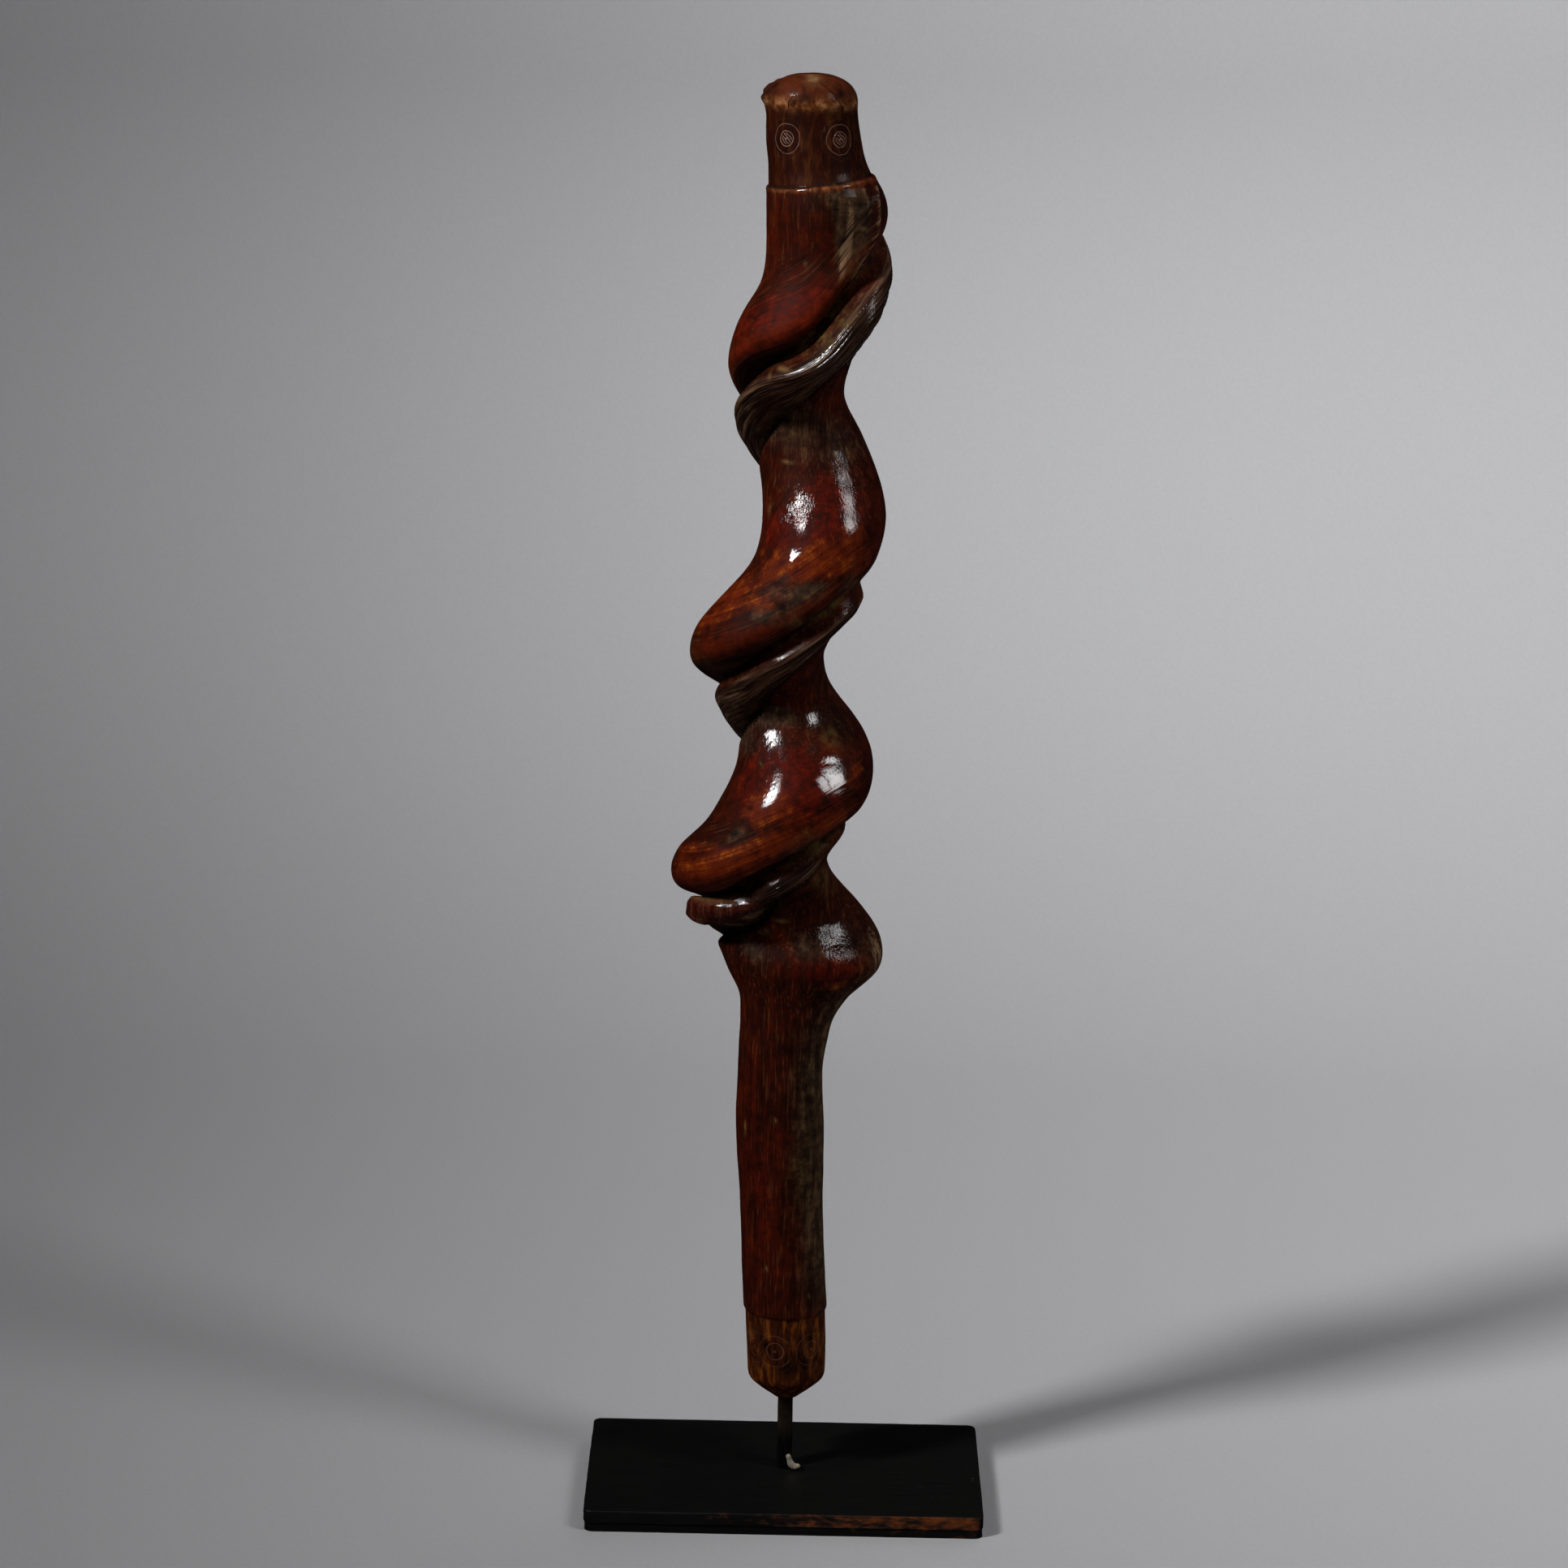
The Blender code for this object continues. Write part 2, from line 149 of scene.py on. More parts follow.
# Height, middle line's x, swing of the swollen side from it, half width, depth over width
STEM = (
    (0.0300, 0.0001, 0.0000, 0.0104, 1.00),
    (0.0480, -0.0005, 0.0000, 0.0106, 1.00),
    (0.0620, -0.0013, 0.0000, 0.0104, 1.00),
    (0.0780, -0.0021, 0.0000, 0.0104, 1.00),
    (0.0940, -0.0027, 0.0000, 0.0110, 1.00),
    (0.1190, -0.0026, 0.0000, 0.0109, 1.00),
    (0.1265, -0.0023, 0.0008, 0.0117, 0.92),
    (0.1316, -0.0026, 0.0026, 0.0134, 0.82),
    (0.1390, -0.0031, 0.0052, 0.0188, 0.66),
    (0.1460, -0.0044, 0.0060, 0.0207, 0.68),
    (0.1540, -0.0038, 0.0064, 0.0202, 0.78),
    (0.1640, -0.0045, 0.0066, 0.0195, 0.90),
    (0.1700, -0.0053, 0.0065, 0.0184, 0.94),
    (0.1760, -0.0045, 0.0062, 0.0178, 0.98),
    (0.1840, -0.0047, 0.0060, 0.0174, 1.00),
    (0.1915, -0.0043, 0.0059, 0.0167, 1.00),
    (0.1990, -0.0041, 0.0062, 0.0156, 1.00),
    (0.2065, -0.0039, 0.0068, 0.0148, 1.00),
    (0.2175, -0.0029, 0.0075, 0.0159, 1.00),
    (0.2270, -0.0028, 0.0075, 0.0170, 1.00),
    (0.2334, -0.0026, 0.0074, 0.0164, 1.00),
    (0.2420, -0.0020, 0.0071, 0.0147, 1.00),
    (0.2535, -0.0018, 0.0068, 0.0149, 1.00),
    (0.2720, -0.0004, 0.0050, 0.0134, 1.00),
    (0.2820, -0.0006, 0.0046, 0.0128, 1.00),
    (0.2910, 0.0008, 0.0046, 0.0146, 1.00),
    (0.3010, 0.0001, 0.0034, 0.0154, 0.95),
    (0.3100, 0.0005, 0.0029, 0.0140, 0.95),
    (0.3190, 0.0008, 0.0028, 0.0138, 1.00),
    (0.3310, 0.0008, 0.0026, 0.0139, 1.00),
    (0.3370, 0.0005, 0.0012, 0.0124, 1.00),
    (0.3440, 0.0004, 0.0000, 0.0118, 1.00),
    (0.3520, -0.0001, 0.0000, 0.0113, 1.00),
)

# How far round the vine has wound, in degrees from the right going down, and the crease's height
CREASE = (
    (-120, 0.3400), (-60, 0.3310), (0, 0.3200), (45, 0.3120), (90, 0.2975), (135, 0.2910),
    (180, 0.2826), (270, 0.2600), (360, 0.2400), (405, 0.2365), (450, 0.2262), (495, 0.2175),
    (540, 0.2115), (630, 0.1950), (720, 0.1800), (765, 0.1765), (810, 0.1690), (855, 0.1603),
    (900, 0.1553), (980, 0.1480),
)

# Degrees wound, the crease's depth, the vine's thickness, its width, the groove below it
VINE = (
    (-120, 0.0000, 0.0000, 0.0080, 0.0000),
    (-50, 0.0020, 0.0014, 0.0120, 0.0000),
    (10, 0.0030, 0.0031, 0.0270, 0.0000),
    (50, 0.0040, 0.0050, 0.0210, 0.0000),
    (95, 0.0052, 0.0050, 0.0150, 0.0000),
    (150, 0.0050, 0.0042, 0.0148, 0.0014),
    (190, 0.0040, 0.0034, 0.0138, 0.0016),
    (235, 0.0030, 0.0016, 0.0110, 0.0006),
    (290, 0.0028, 0.0016, 0.0110, 0.0000),
    (405, 0.0018, 0.0020, 0.0110, 0.0000),
    (450, 0.0042, 0.0026, 0.0105, 0.0000),
    (540, 0.0042, 0.0024, 0.0140, 0.0016),
    (600, 0.0030, 0.0018, 0.0110, 0.0006),
    (755, 0.0024, 0.0006, 0.0100, 0.0000),
    (800, 0.0034, 0.0024, 0.0100, 0.0012),
    (850, 0.0052, 0.0034, 0.0100, 0.0030),
    (900, 0.0046, 0.0006, 0.0090, 0.0030),
    (945, 0.0020, 0.0000, 0.0100, 0.0012),
    (980, 0.0000, 0.0000, 0.0080, 0.0000),
)
CREASE_REACH_UP = 0.0036
CREASE_REACH_DOWN = 0.0016
VINE_TOP_BELOW_CREASE = 0.0030
VINE_TOP_SOFTNESS = 0.0013
VINE_RIDGE_BELOW_CREASE = 0.0055
VINE_FULLNESS = 0.6
GROOVE_BELOW_VINE = -0.0010
GROOVE_HALF_WIDTH = 0.0014
LIP_ABOVE_CREASE = 0.0060
LIP_HALF_WIDTH = 0.0040
LIP_SAG = 0.0016
LIP_SAG_ABOVE_CREASE = 0.0045
LIP_SAG_HALF_WIDTH = 0.0032
LIP_SWELL = 0.0010

# Where the wood changes its look round the crease, and how far from it the fibres still bend
LIP_LINE_ABOVE_CREASE = 0.0065
LIP_LINE_HALF_WIDTH = 0.0022
VINE_IN_FULL = 0.0030      # thickness from which the vine shows its own skin
# The band under each lip, round the crease, later gets a dim mauve: a painted reflection of the pale floor.
UNDERSIDE_ABOVE_CREASE = 0.0010
UNDERSIDE_REACH_UP = 0.0036
UNDERSIDE_REACH_DOWN = 0.0020
FIBRES_BEND_WITHIN = 0.022
STRAND_ABOVE_CREASE = 0.0030
MEAN_RADIUS = 0.017
print(len(STEM), "stations along the branch,", len(CREASE), "along the crease")


# %% Small curves that every surface below is drawn with
def through(stations, at):
    """The values at `at` of a smooth line through (place, value) stations, level past both ends."""
    place, value = np.array(stations, float).T
    slope = np.gradient(value, place)
    slope[[0, -1]] = 0
    left = np.clip(np.searchsorted(place, at) - 1, 0, len(place) - 2)
    span = place[left + 1] - place[left]
    t = np.clip((at - place[left]) / span, 0, 1)
    rise = value[left + 1] - value[left]
    ease = t * t * (3 - 2 * t)
    leave = t * (1 - t) ** 2 * span * slope[left]
    arrive = t * t * (1 - t) * span * slope[left + 1]
    return value[left] + rise * ease + leave - arrive


def column_of(table, index):
    return [(row[0], row[index]) for row in table]


def hump(distance, half_width):
    return np.exp(-((distance / half_width) ** 2))


def step_up(distance, softness):
    """0 well below zero distance, 1 well above it."""
    return 0.5 + 0.5 * np.tanh(distance / softness)


def soft_min(a, b, blend):
    return 0.5 * (a + b - np.sqrt((a - b) ** 2 + blend**2))


def winding(height):
    """How far the swollen side has wound round at a height, in radians from the right."""
    turns = [(h, i * math.pi / 2) for i, h in enumerate(QUARTER_TURN_HEIGHTS)]
    return through(turns[::-1], height)


print("the swollen side winds", round(float(winding(0.14) - winding(0.33)) / (2 * math.pi), 2), "turns")


# %% The bare branch, then the crease and the vine on it
def stem_points(z, around):
    """The bare stem: each row an oval whose middle swings round with the screw."""
    middle = through(column_of(STEM, 1), z)
    swing = through(column_of(STEM, 2), z)
    half = through(column_of(STEM, 3), z)
    wound = winding(z)
    above = step_up(z - UPPER_COLLAR_HEIGHT - UPPER_COLLAR_RISE * np.cos(around), COLLAR_SOFTNESS)
    below = step_up(LOWER_COLLAR_HEIGHT - z, COLLAR_SOFTNESS)
    half = half - COLLAR_DEPTH * (above + below)
    half = soft_min(half, TIP_RADIUS + TIP_FLARE * (z - TIP_HEIGHT), TIP_ROUNDING)
    climb = np.clip((z - DOME_FOOT_HEIGHT) / DOME_RISE, 0, 1)
    half = half * (1 - climb**DOME_FULLNESS) ** (1 / DOME_FULLNESS)
    depth = half * through(column_of(STEM, 4), z) * (1 + OVALNESS * np.cos(2 * wound) * swing / FULL_SWING)
    x = middle + swing * np.cos(wound) + half * np.cos(around)
    y = depth * np.sin(around) - swing * np.sin(wound)
    return x, y, middle


def main_form(z, around):
    """Points of the staff, and what each of them is: part of a crease, lip, vine, and where along it."""
    x, y, middle = stem_points(z, around)
    place = -np.arctan2(y, x - middle)
    out = np.zeros_like(z)
    sag = np.zeros_like(z)
    notes = {name: np.zeros_like(z) for name in ("crease", "vine", "lip", "under", "flow", "along")}
    notes["below"] = np.full_like(z, -1.0)
    first = math.floor(math.radians(CREASE[0][0]) / (2 * math.pi))
    last = math.ceil(math.radians(CREASE[-1][0]) / (2 * math.pi))
    deepest_crease = max(row[1] for row in VINE)
    deepest_groove = max(row[4] for row in VINE)
    for turn in range(first, last + 1):
        wound = np.degrees(place) + 360 * turn
        below = through(CREASE, wound) - z
        crease, thickness, width, groove = (through(column_of(VINE, index), wound) for index in range(1, 5))
        strength = crease / deepest_crease
        grooved = hump(below - width - GROOVE_BELOW_VINE, GROOVE_HALF_WIDTH)
        rise = step_up(below - VINE_TOP_BELOW_CREASE, VINE_TOP_SOFTNESS)
        past_ridge = np.clip((below - VINE_RIDGE_BELOW_CREASE) / (width - VINE_RIDGE_BELOW_CREASE), 0, 1)
        fall = (0.5 + 0.5 * np.cos(math.pi * past_ridge)) ** VINE_FULLNESS
        out -= crease * hump(below, np.where(below < 0, CREASE_REACH_UP, CREASE_REACH_DOWN))
        out += thickness * rise * fall
        out -= groove * grooved
        out += LIP_SWELL * strength * hump(below + LIP_ABOVE_CREASE, LIP_HALF_WIDTH)
        sag += LIP_SAG * strength * hump(below + LIP_SAG_ABOVE_CREASE, LIP_SAG_HALF_WIDTH)
        notes["crease"] += strength * hump(below, CREASE_REACH_DOWN)
        notes["crease"] += groove / deepest_groove * grooved
        notes["vine"] += np.clip(thickness / VINE_IN_FULL, 0, 1) * rise * (below < width)
        notes["lip"] += strength * hump(below + LIP_LINE_ABOVE_CREASE, LIP_LINE_HALF_WIDTH)
        from_underside = below + UNDERSIDE_ABOVE_CREASE
        reach = np.where(from_underside < 0, UNDERSIDE_REACH_UP, UNDERSIDE_REACH_DOWN)
        notes["under"] += np.clip(2 * strength, 0, 1) * hump(from_underside, reach)
        notes["flow"] += strength**0.5 * np.where(below < 0, hump(below, FIBRES_BEND_WITHIN), 0)
        nearer = np.abs(below + STRAND_ABOVE_CREASE) < np.abs(notes["below"] + STRAND_ABOVE_CREASE)
        notes["below"] = np.where(nearer, below, notes["below"])
        notes["along"] = np.where(nearer, np.radians(wound) * MEAN_RADIUS, notes["along"])
    knot = hump(np.degrees(around) % 360 - KNOT_AROUND, KNOT_HALF_WIDTH)
    out += KNOT_RISE * (knot * hump(z - KNOT_HEIGHT, KNOT_HALF_HEIGHT))
    x = x + out * np.cos(around)
    y = y + out * np.sin(around)
    return np.stack([x, y + ROD_Y, z - sag], axis=-1), notes


# %% [markdown]
# ## Rings of points to carry the form
# The skin needs rows that are close where there is something small to show and wider apart on the plain
# shaft. One circle is added, and a Screw modifier that turns by nothing lifts it into a straight tube of
# rings. Extruding the ring nearly five hundred times in edit mode would do the same, only slowly.

# %% Row heights
COLUMNS = 200
ROW_ZONES = (      # from, to, spacing
    (TIP_HEIGHT, 0.0340, 0.00060),
    (0.0340, 0.0475, 0.00036),
    (0.0475, 0.0505, 0.00020),
    (0.0505, 0.1200, 0.00110),
    (0.1200, 0.3315, 0.00080),
    (0.3315, 0.3370, 0.00024),
    (0.3370, DOME_FOOT_HEIGHT, 0.00038),
)
DOME_ROWS = 26

body_rows = [np.arange(start, stop - step / 2, step) for start, stop, step in ROW_ZONES]
climb = np.arange(DOME_ROWS) / DOME_ROWS * math.pi / 2
row_heights = np.concatenate(body_rows + [DOME_FOOT_HEIGHT + DOME_RISE * np.sin(climb)])
print(len(row_heights), "rings of", COLUMNS, "points")

# %% The tube, closed at the top by a fan of faces
def face_outwards():
    """Turns every face of the active piece outwards and goes back to object mode."""
    bpy.ops.object.mode_set(mode="EDIT")
    bpy.ops.mesh.select_all(action="SELECT")
    bpy.ops.mesh.normals_make_consistent(inside=False)
    bpy.ops.object.mode_set(mode="OBJECT")


start_clean()
bpy.ops.mesh.primitive_circle_add(vertices=COLUMNS, radius=STEM[0][3], location=(0, 0, 0))
staff = bpy.context.object
staff.name = "twisted_staff"
lift = staff.modifiers.new("lift", "SCREW")
lift.angle = 0
lift.screw_offset = 1.0
lift.steps = lift.render_steps = len(row_heights) - 1
bpy.ops.object.modifier_apply(modifier="lift")
bpy.ops.object.mode_set(mode="EDIT")
bpy.ops.mesh.select_all(action="DESELECT")
bpy.ops.mesh.select_non_manifold()
bpy.ops.mesh.fill_holes(sides=0)
face_outwards()
print("the tube has", len(staff.data.vertices), "points and", len(staff.data.polygons), "faces")

# %% [markdown]
# ## The skin: hand-smoothed wood with its small scars
# The tube's rings are moved on to the main form, and then every point goes in or out along its own normal by
# a fraction of a millimetre: soft unevenness from scraping by hand, the ribs along the vine, the cut collar
# lines, the nicks, a knot hole and the sharp edge of the uppermost lip. This is real geometry, so it also
# shows in the outline and in the mesh itself. The scratched circles are cut only lightly, and the material
# draws their thin lines, as it does all that is finer than the points are apart.

# %% Marks and scars, placed by degrees round from the right and by height
MARK_INNER = 0.52          # radius of the inner circle over that of the outer one
MARK_LINE = 0.22 * MM      # half width of the scratched line
MARK_DEPTH = 0.05 * MM
HEAD_MARKS = [(around, 0.3447, 3.5 * MM) for around in (-124.5, -55.5, 22.0, 90.0, 158.0)]
FOOT_MARKS = [(around, 0.0405, 4.2 * MM) for around in (-141.5, -106.6, -50.5, 20.0, 110.0)]

# Kind of spot, degrees round, height, half width and half height in mm, how far it stands out in mm
SPOTS = (
    ("bare", -89, 0.3583, 1.5, 1.0, -0.10),      # worn crown of the dome
    ("dark", -97, 0.3544, 1.5, 1.2, -0.05),
    ("dark", -48, 0.3554, 1.3, 1.1, -0.05),
    ("dark", -162, 0.3565, 1.3, 1.1, -0.05),
    ("bare", -109, 0.3157, 0.35, 0.35, -0.10),
    ("bare", -52.6, 0.3241, 1.1, 0.25, -0.05),
    ("bare", -96, 0.2912, 1.5, 0.30, -0.15),      # torn end of the vine
    ("bare", -107, 0.2893, 0.35, 0.9, -0.15),
    ("dark", -117, 0.2400, 2.2, 1.2, -0.05),
    ("dark", -100, 0.2350, 2.8, 1.6, -0.08),
    ("bare", -152, 0.2552, 0.3, 1.0, -0.15),
    ("bare", -118, 0.2671, 1.3, 0.2, -0.10),
    ("bare", -131, 0.1936, 0.45, 0.5, -0.25),
    ("dark", -127, 0.1775, 1.9, 1.1, 0.18),      # a scab of old varnish
    ("dark", -129, 0.1841, 0.8, 0.5, -0.15),
    ("bare", -107, 0.1500, 1.5, 0.35, -0.20),    # torn strip under the stub
    ("bare", -90, 0.1529, 1.5, 0.4, -0.20),
    ("dark", -166, 0.1023, 0.7, 0.5, -0.35),     # nick in the left edge
    ("bare", -142, 0.0986, 0.3, 1.3, -0.20),
    ("dark", -63, 0.0873, 0.7, 1.3, -0.60),      # knot hole
    ("bare", -113, 0.0627, 0.22, 0.3, -0.10),
    ("bare", -53, 0.0550, 0.22, 0.22, -0.10),
    ("bare", -95, 0.1023, 0.22, 0.3, -0.10),
    ("bare", -71, 0.0999, 0.22, 0.22, -0.10),
    ("dark", 60, 0.2900, 2.0, 1.2, -0.10),
    ("dark", 110, 0.2050, 1.8, 1.4, -0.12),
    ("bare", 75, 0.1120, 0.3, 1.2, -0.15),
    ("dark", 140, 0.0700, 0.6, 1.0, -0.30),
)

# Places that the scraper left a little flat or full: degrees round, height, half sizes and how far out in mm
SWELLINGS = (
    (-65, 0.1915, 4.5, 5.0, -0.65), (-116, 0.2446, 2.6, 2.0, 0.35), (-62, 0.1480, 3.0, 3.0, -0.20),
    (-38, 0.3225, 3.6, 4.6, 0.45),
)

# The sharp edge where the uppermost lip turns over: degrees round and height of each bend
LIP_EDGE = (
    (-22, 0.3338), (-29, 0.3307), (-32, 0.3269), (-36, 0.3234), (-44, 0.3203), (-54, 0.3172), (-61, 0.3140),
)
LIP_EDGE_HALF_WIDTH = 1.2 * MM
LIP_EDGE_HEIGHT = 0.65 * MM

# Hairline cracks over the dome: degrees round and height of each bend
CRACKS = (
    ((-113, 0.3556), (-116, 0.3545), (-120.5, 0.3533), (-121, 0.3516)),
    ((-80, 0.3578), (-68, 0.3565), (-59.5, 0.3549), (-56, 0.3538), (-51, 0.3527), (-48.5, 0.3508)),
    ((60, 0.3560), (66, 0.3545), (64, 0.3525)),
)
print(len(HEAD_MARKS) + len(FOOT_MARKS), "circle-and-dot marks,", len(SPOTS), "spots,", len(CRACKS), "cracks")


# %% Points, normals and the local view from a place on the surface
def surface(z, around):
    """Points of the main form with their outward normals and notes."""
    spot, notes = main_form(z, around)
    higher = main_form(z + 0.2 * MM, around)[0] - spot
    further = main_form(z, around + 0.01)[0] - spot
    normal = np.cross(further, higher)
    normal /= np.linalg.norm(normal, axis=-1, keepdims=True) + 1e-12
    return spot, normal, notes

def spot_on_staff(around, height):
    """The point of the main form at so many degrees round from the right and at a height."""
    return main_form(np.array([height]), np.array([math.radians(around)]))[0][0]


def seen_from(points, around, height):
    """Each point as (sideways, up, out) from a place on the staff, looking straight at it."""
    out = np.array([math.cos(math.radians(around)), math.sin(math.radians(around)), 0])
    side = np.array([-out[1], out[0], 0])
    return (points - spot_on_staff(around, height)) @ np.array([side, (0, 0, 1), out]).T


def away_from(points, bends):
    """Distance of each point from a bent line on the surface, given by degrees round and height."""
    path = [spot_on_staff(around, height) for around, height in bends]
    nearest = np.full(len(points), 1.0)
    for start, end in zip(path, path[1:]):
        step = end - start
        share = np.clip((points - start) @ step / (step @ step), 0, 1)
        nearest = np.minimum(nearest, np.linalg.norm(points - start - share[:, None] * step, axis=1))
    return nearest


def unevenness(points, size, seed):
    """Smooth noise from -1 to 1, whose lumps are about `size` across."""
    return np.array([noise.noise(Vector(spot) / size + Vector((seed, 0, 0))) for spot in points.tolist()])


def points_of(piece):
    """The points of a piece's mesh as rows of x, y and z."""
    flat = np.zeros(len(piece.data.vertices) * 3)
    piece.data.vertices.foreach_get("co", flat)
    return flat.reshape(-1, 3)


tube = points_of(staff)
ring_z = np.repeat(row_heights, COLUMNS)
ring_around = np.arctan2(tube[:, 1], tube[:, 0])
points, normals, notes = surface(ring_z, ring_around)
print("main form measured at", len(points), "points")

# %% Relief: scraping, the vine's ribs and the collars
SCRAPED = ((26 * MM, 0.22 * MM), (9 * MM, 0.11 * MM), (3.5 * MM, 0.05 * MM))     # lump size, height
TIP_LEFT_TRUE = 1.5 * MM   # so far up the tip stays smooth, so that the socket's rim is round
RIB_SPACING = 3.4 * MM
RIB_HEIGHT = 0.24 * MM
RIB_WANDER = 2.2           # radians by which the ribs stray sideways
COLLAR_CUT = 0.22 * MM
COLLAR_BEAD = 0.20 * MM
RIM_HEIGHT = 0.3527
RIM_BULGE = 0.07 * MM
CROWN_HEIGHT = 0.3538

relief = sum(height * unevenness(points, size, i * 7.0) for i, (size, height) in enumerate(SCRAPED))
relief = relief * step_up(ring_z - TIP_HEIGHT - TIP_LEFT_TRUE, 0.5 * MM)

ribs = np.cos(2 * math.pi * notes["below"] / RIB_SPACING + RIB_WANDER * unevenness(points, 12 * MM, 3.0))
relief += RIB_HEIGHT * ribs * notes["vine"] * (0.6 + 0.6 * unevenness(points, 20 * MM, 5.0))

above_upper = ring_z - UPPER_COLLAR_HEIGHT - UPPER_COLLAR_RISE * np.cos(ring_around)
above_lower = ring_z - LOWER_COLLAR_HEIGHT
# rim: a band round the dome's rim; it bulges a little and carries pale gold that is partly a painted
# highlight.
rim = hump(ring_z - RIM_HEIGHT, 1.5 * MM) ** 1.5
crown = step_up(ring_z - CROWN_HEIGHT, 0.6 * MM)
head = step_up(above_upper - 0.2 * MM, 0.3 * MM)
foot = step_up(-above_lower, 0.3 * MM)
chatter = 0.7 + 0.5 * unevenness(points, 2.5 * MM, 9.0)      # the knife didn't cut evenly deep
relief -= COLLAR_CUT * chatter * hump(above_upper - 0.1 * MM, 0.32 * MM)
bead = hump(above_upper + 0.75 * MM, 0.50 * MM)
relief += COLLAR_BEAD * chatter * bead
relief += RIM_BULGE * rim
relief -= 0.7 * COLLAR_CUT * chatter * hump(above_lower, 0.25 * MM)
print("collars are cut", COLLAR_CUT / MM, "mm deep, ribs stand", RIB_HEIGHT / MM, "mm high")

# %% Relief: the scratched circles, kept as a flat map of each mark for the material
SAME_SIDE = -4 * MM        # points further back than this lie on the staff's other side
MARK_MARGIN = 1.35         # how far past the outer circle the map reaches, as a share of its radius

mark = np.zeros_like(points)
marked = np.zeros(len(points))
for kind, marks in enumerate((HEAD_MARKS, FOOT_MARKS)):
    for around, height, radius in marks:
        side, rise, out = seen_from(points, around, height).T
        far = np.hypot(side, rise)
        near = (far < MARK_MARGIN * radius) & (out > SAME_SIDE)
        mark[near] = np.stack([side / radius, rise / radius, np.full_like(side, kind)], axis=1)[near]
        marked[near] = 1
        line = hump(far - radius, MARK_LINE) + hump(far - MARK_INNER * radius, MARK_LINE)
        relief -= MARK_DEPTH * np.where(near, line, 0)
print(int(marked.sum()), "points lie on a mark")


# %% Relief: spots, swellings, the lip's edge and the rough knot
def patch(around, height, half_width, half_height, ragged=1):
    """1 in the middle of an oval patch and falling to 0 round it, with its half sizes in mm."""
    side, rise, out = seen_from(points, around, height).T
    away = np.hypot(side / (half_width * MM), rise / (half_height * MM)) * ragged
    return np.where(out > SAME_SIDE, hump(away, 1.0), 0)


painted = {"bare": np.zeros(len(points)), "dark": 0.8 * hump(above_upper - 0.1 * MM, 0.35 * MM)}
for kind, around, height, half_width, half_height, stands_out in SPOTS:
    amount = patch(around, height, half_width, half_height, 1 + 0.5 * unevenness(points, 1.2 * MM, around))
    relief += stands_out * MM * amount
    painted[kind] = np.maximum(painted[kind], amount)

for around, height, half_width, half_height, stands_out in SWELLINGS:
    relief += stands_out * MM * patch(around, height, half_width, half_height)

from_lip_edge = away_from(points, LIP_EDGE)
lip_edge = hump(from_lip_edge, LIP_EDGE_HALF_WIDTH)
relief += LIP_EDGE_HEIGHT * lip_edge

BARK_HALF_WIDTH = 26       # degrees on either side of the knot that kept some bark
BARK_LUMP = 0.60 * MM
bark = hump(np.degrees(ring_around) % 360 - KNOT_AROUND, BARK_HALF_WIDTH)
bark = bark * hump(ring_z - KNOT_HEIGHT, KNOT_HALF_HEIGHT)
relief += BARK_LUMP * bark * unevenness(points, 1.3 * MM, 11.0)
painted["dark"] = np.maximum(painted["dark"], bark)
print("relief from", round(relief.min() / MM, 2), "to", round(relief.max() / MM, 2), "mm")

# %% Hairline cracks, kept as a signed distance so that the line stays sharp between points
CRACK_REACH = 1.2          # mm to either side where the distance is kept
crack_side = np.full(len(points), 9.0)
cracked = np.zeros(len(points))
for bends in CRACKS:
    path = [spot_on_staff(around, height) for around, height in bends]
    for start, end in zip(path, path[1:]):
        length = np.linalg.norm(end - start)
        along = (end - start) / length
        offset = points - start
        travel = offset @ along
        across = offset - travel[:, None] * along
        distance = np.linalg.norm(across, axis=1) / MM
        sign = np.sign(np.einsum("ij,ij->i", np.cross(along, across), normals))
        on_it = (travel > -0.1 * MM) & (travel < length + 0.1 * MM) & (distance < CRACK_REACH)
        closer = on_it & (distance < np.abs(crack_side))
        crack_side[closer] = (sign * distance)[closer]
        cracked[closer] = 1
print(int(cracked.sum()), "points lie near a crack")

# %% [markdown]
# ## Where the colour of the wood changes
# The real wood is amber where it was rubbed, fire-red where light comes through the stain, grey-brown in the
# shade of the turns and olive where old dirt lies. Each wash is a soft oval on the staff, and several of one
# kind add up. An image painted by hand could give the same, but ovals need no picture and fit any mesh.

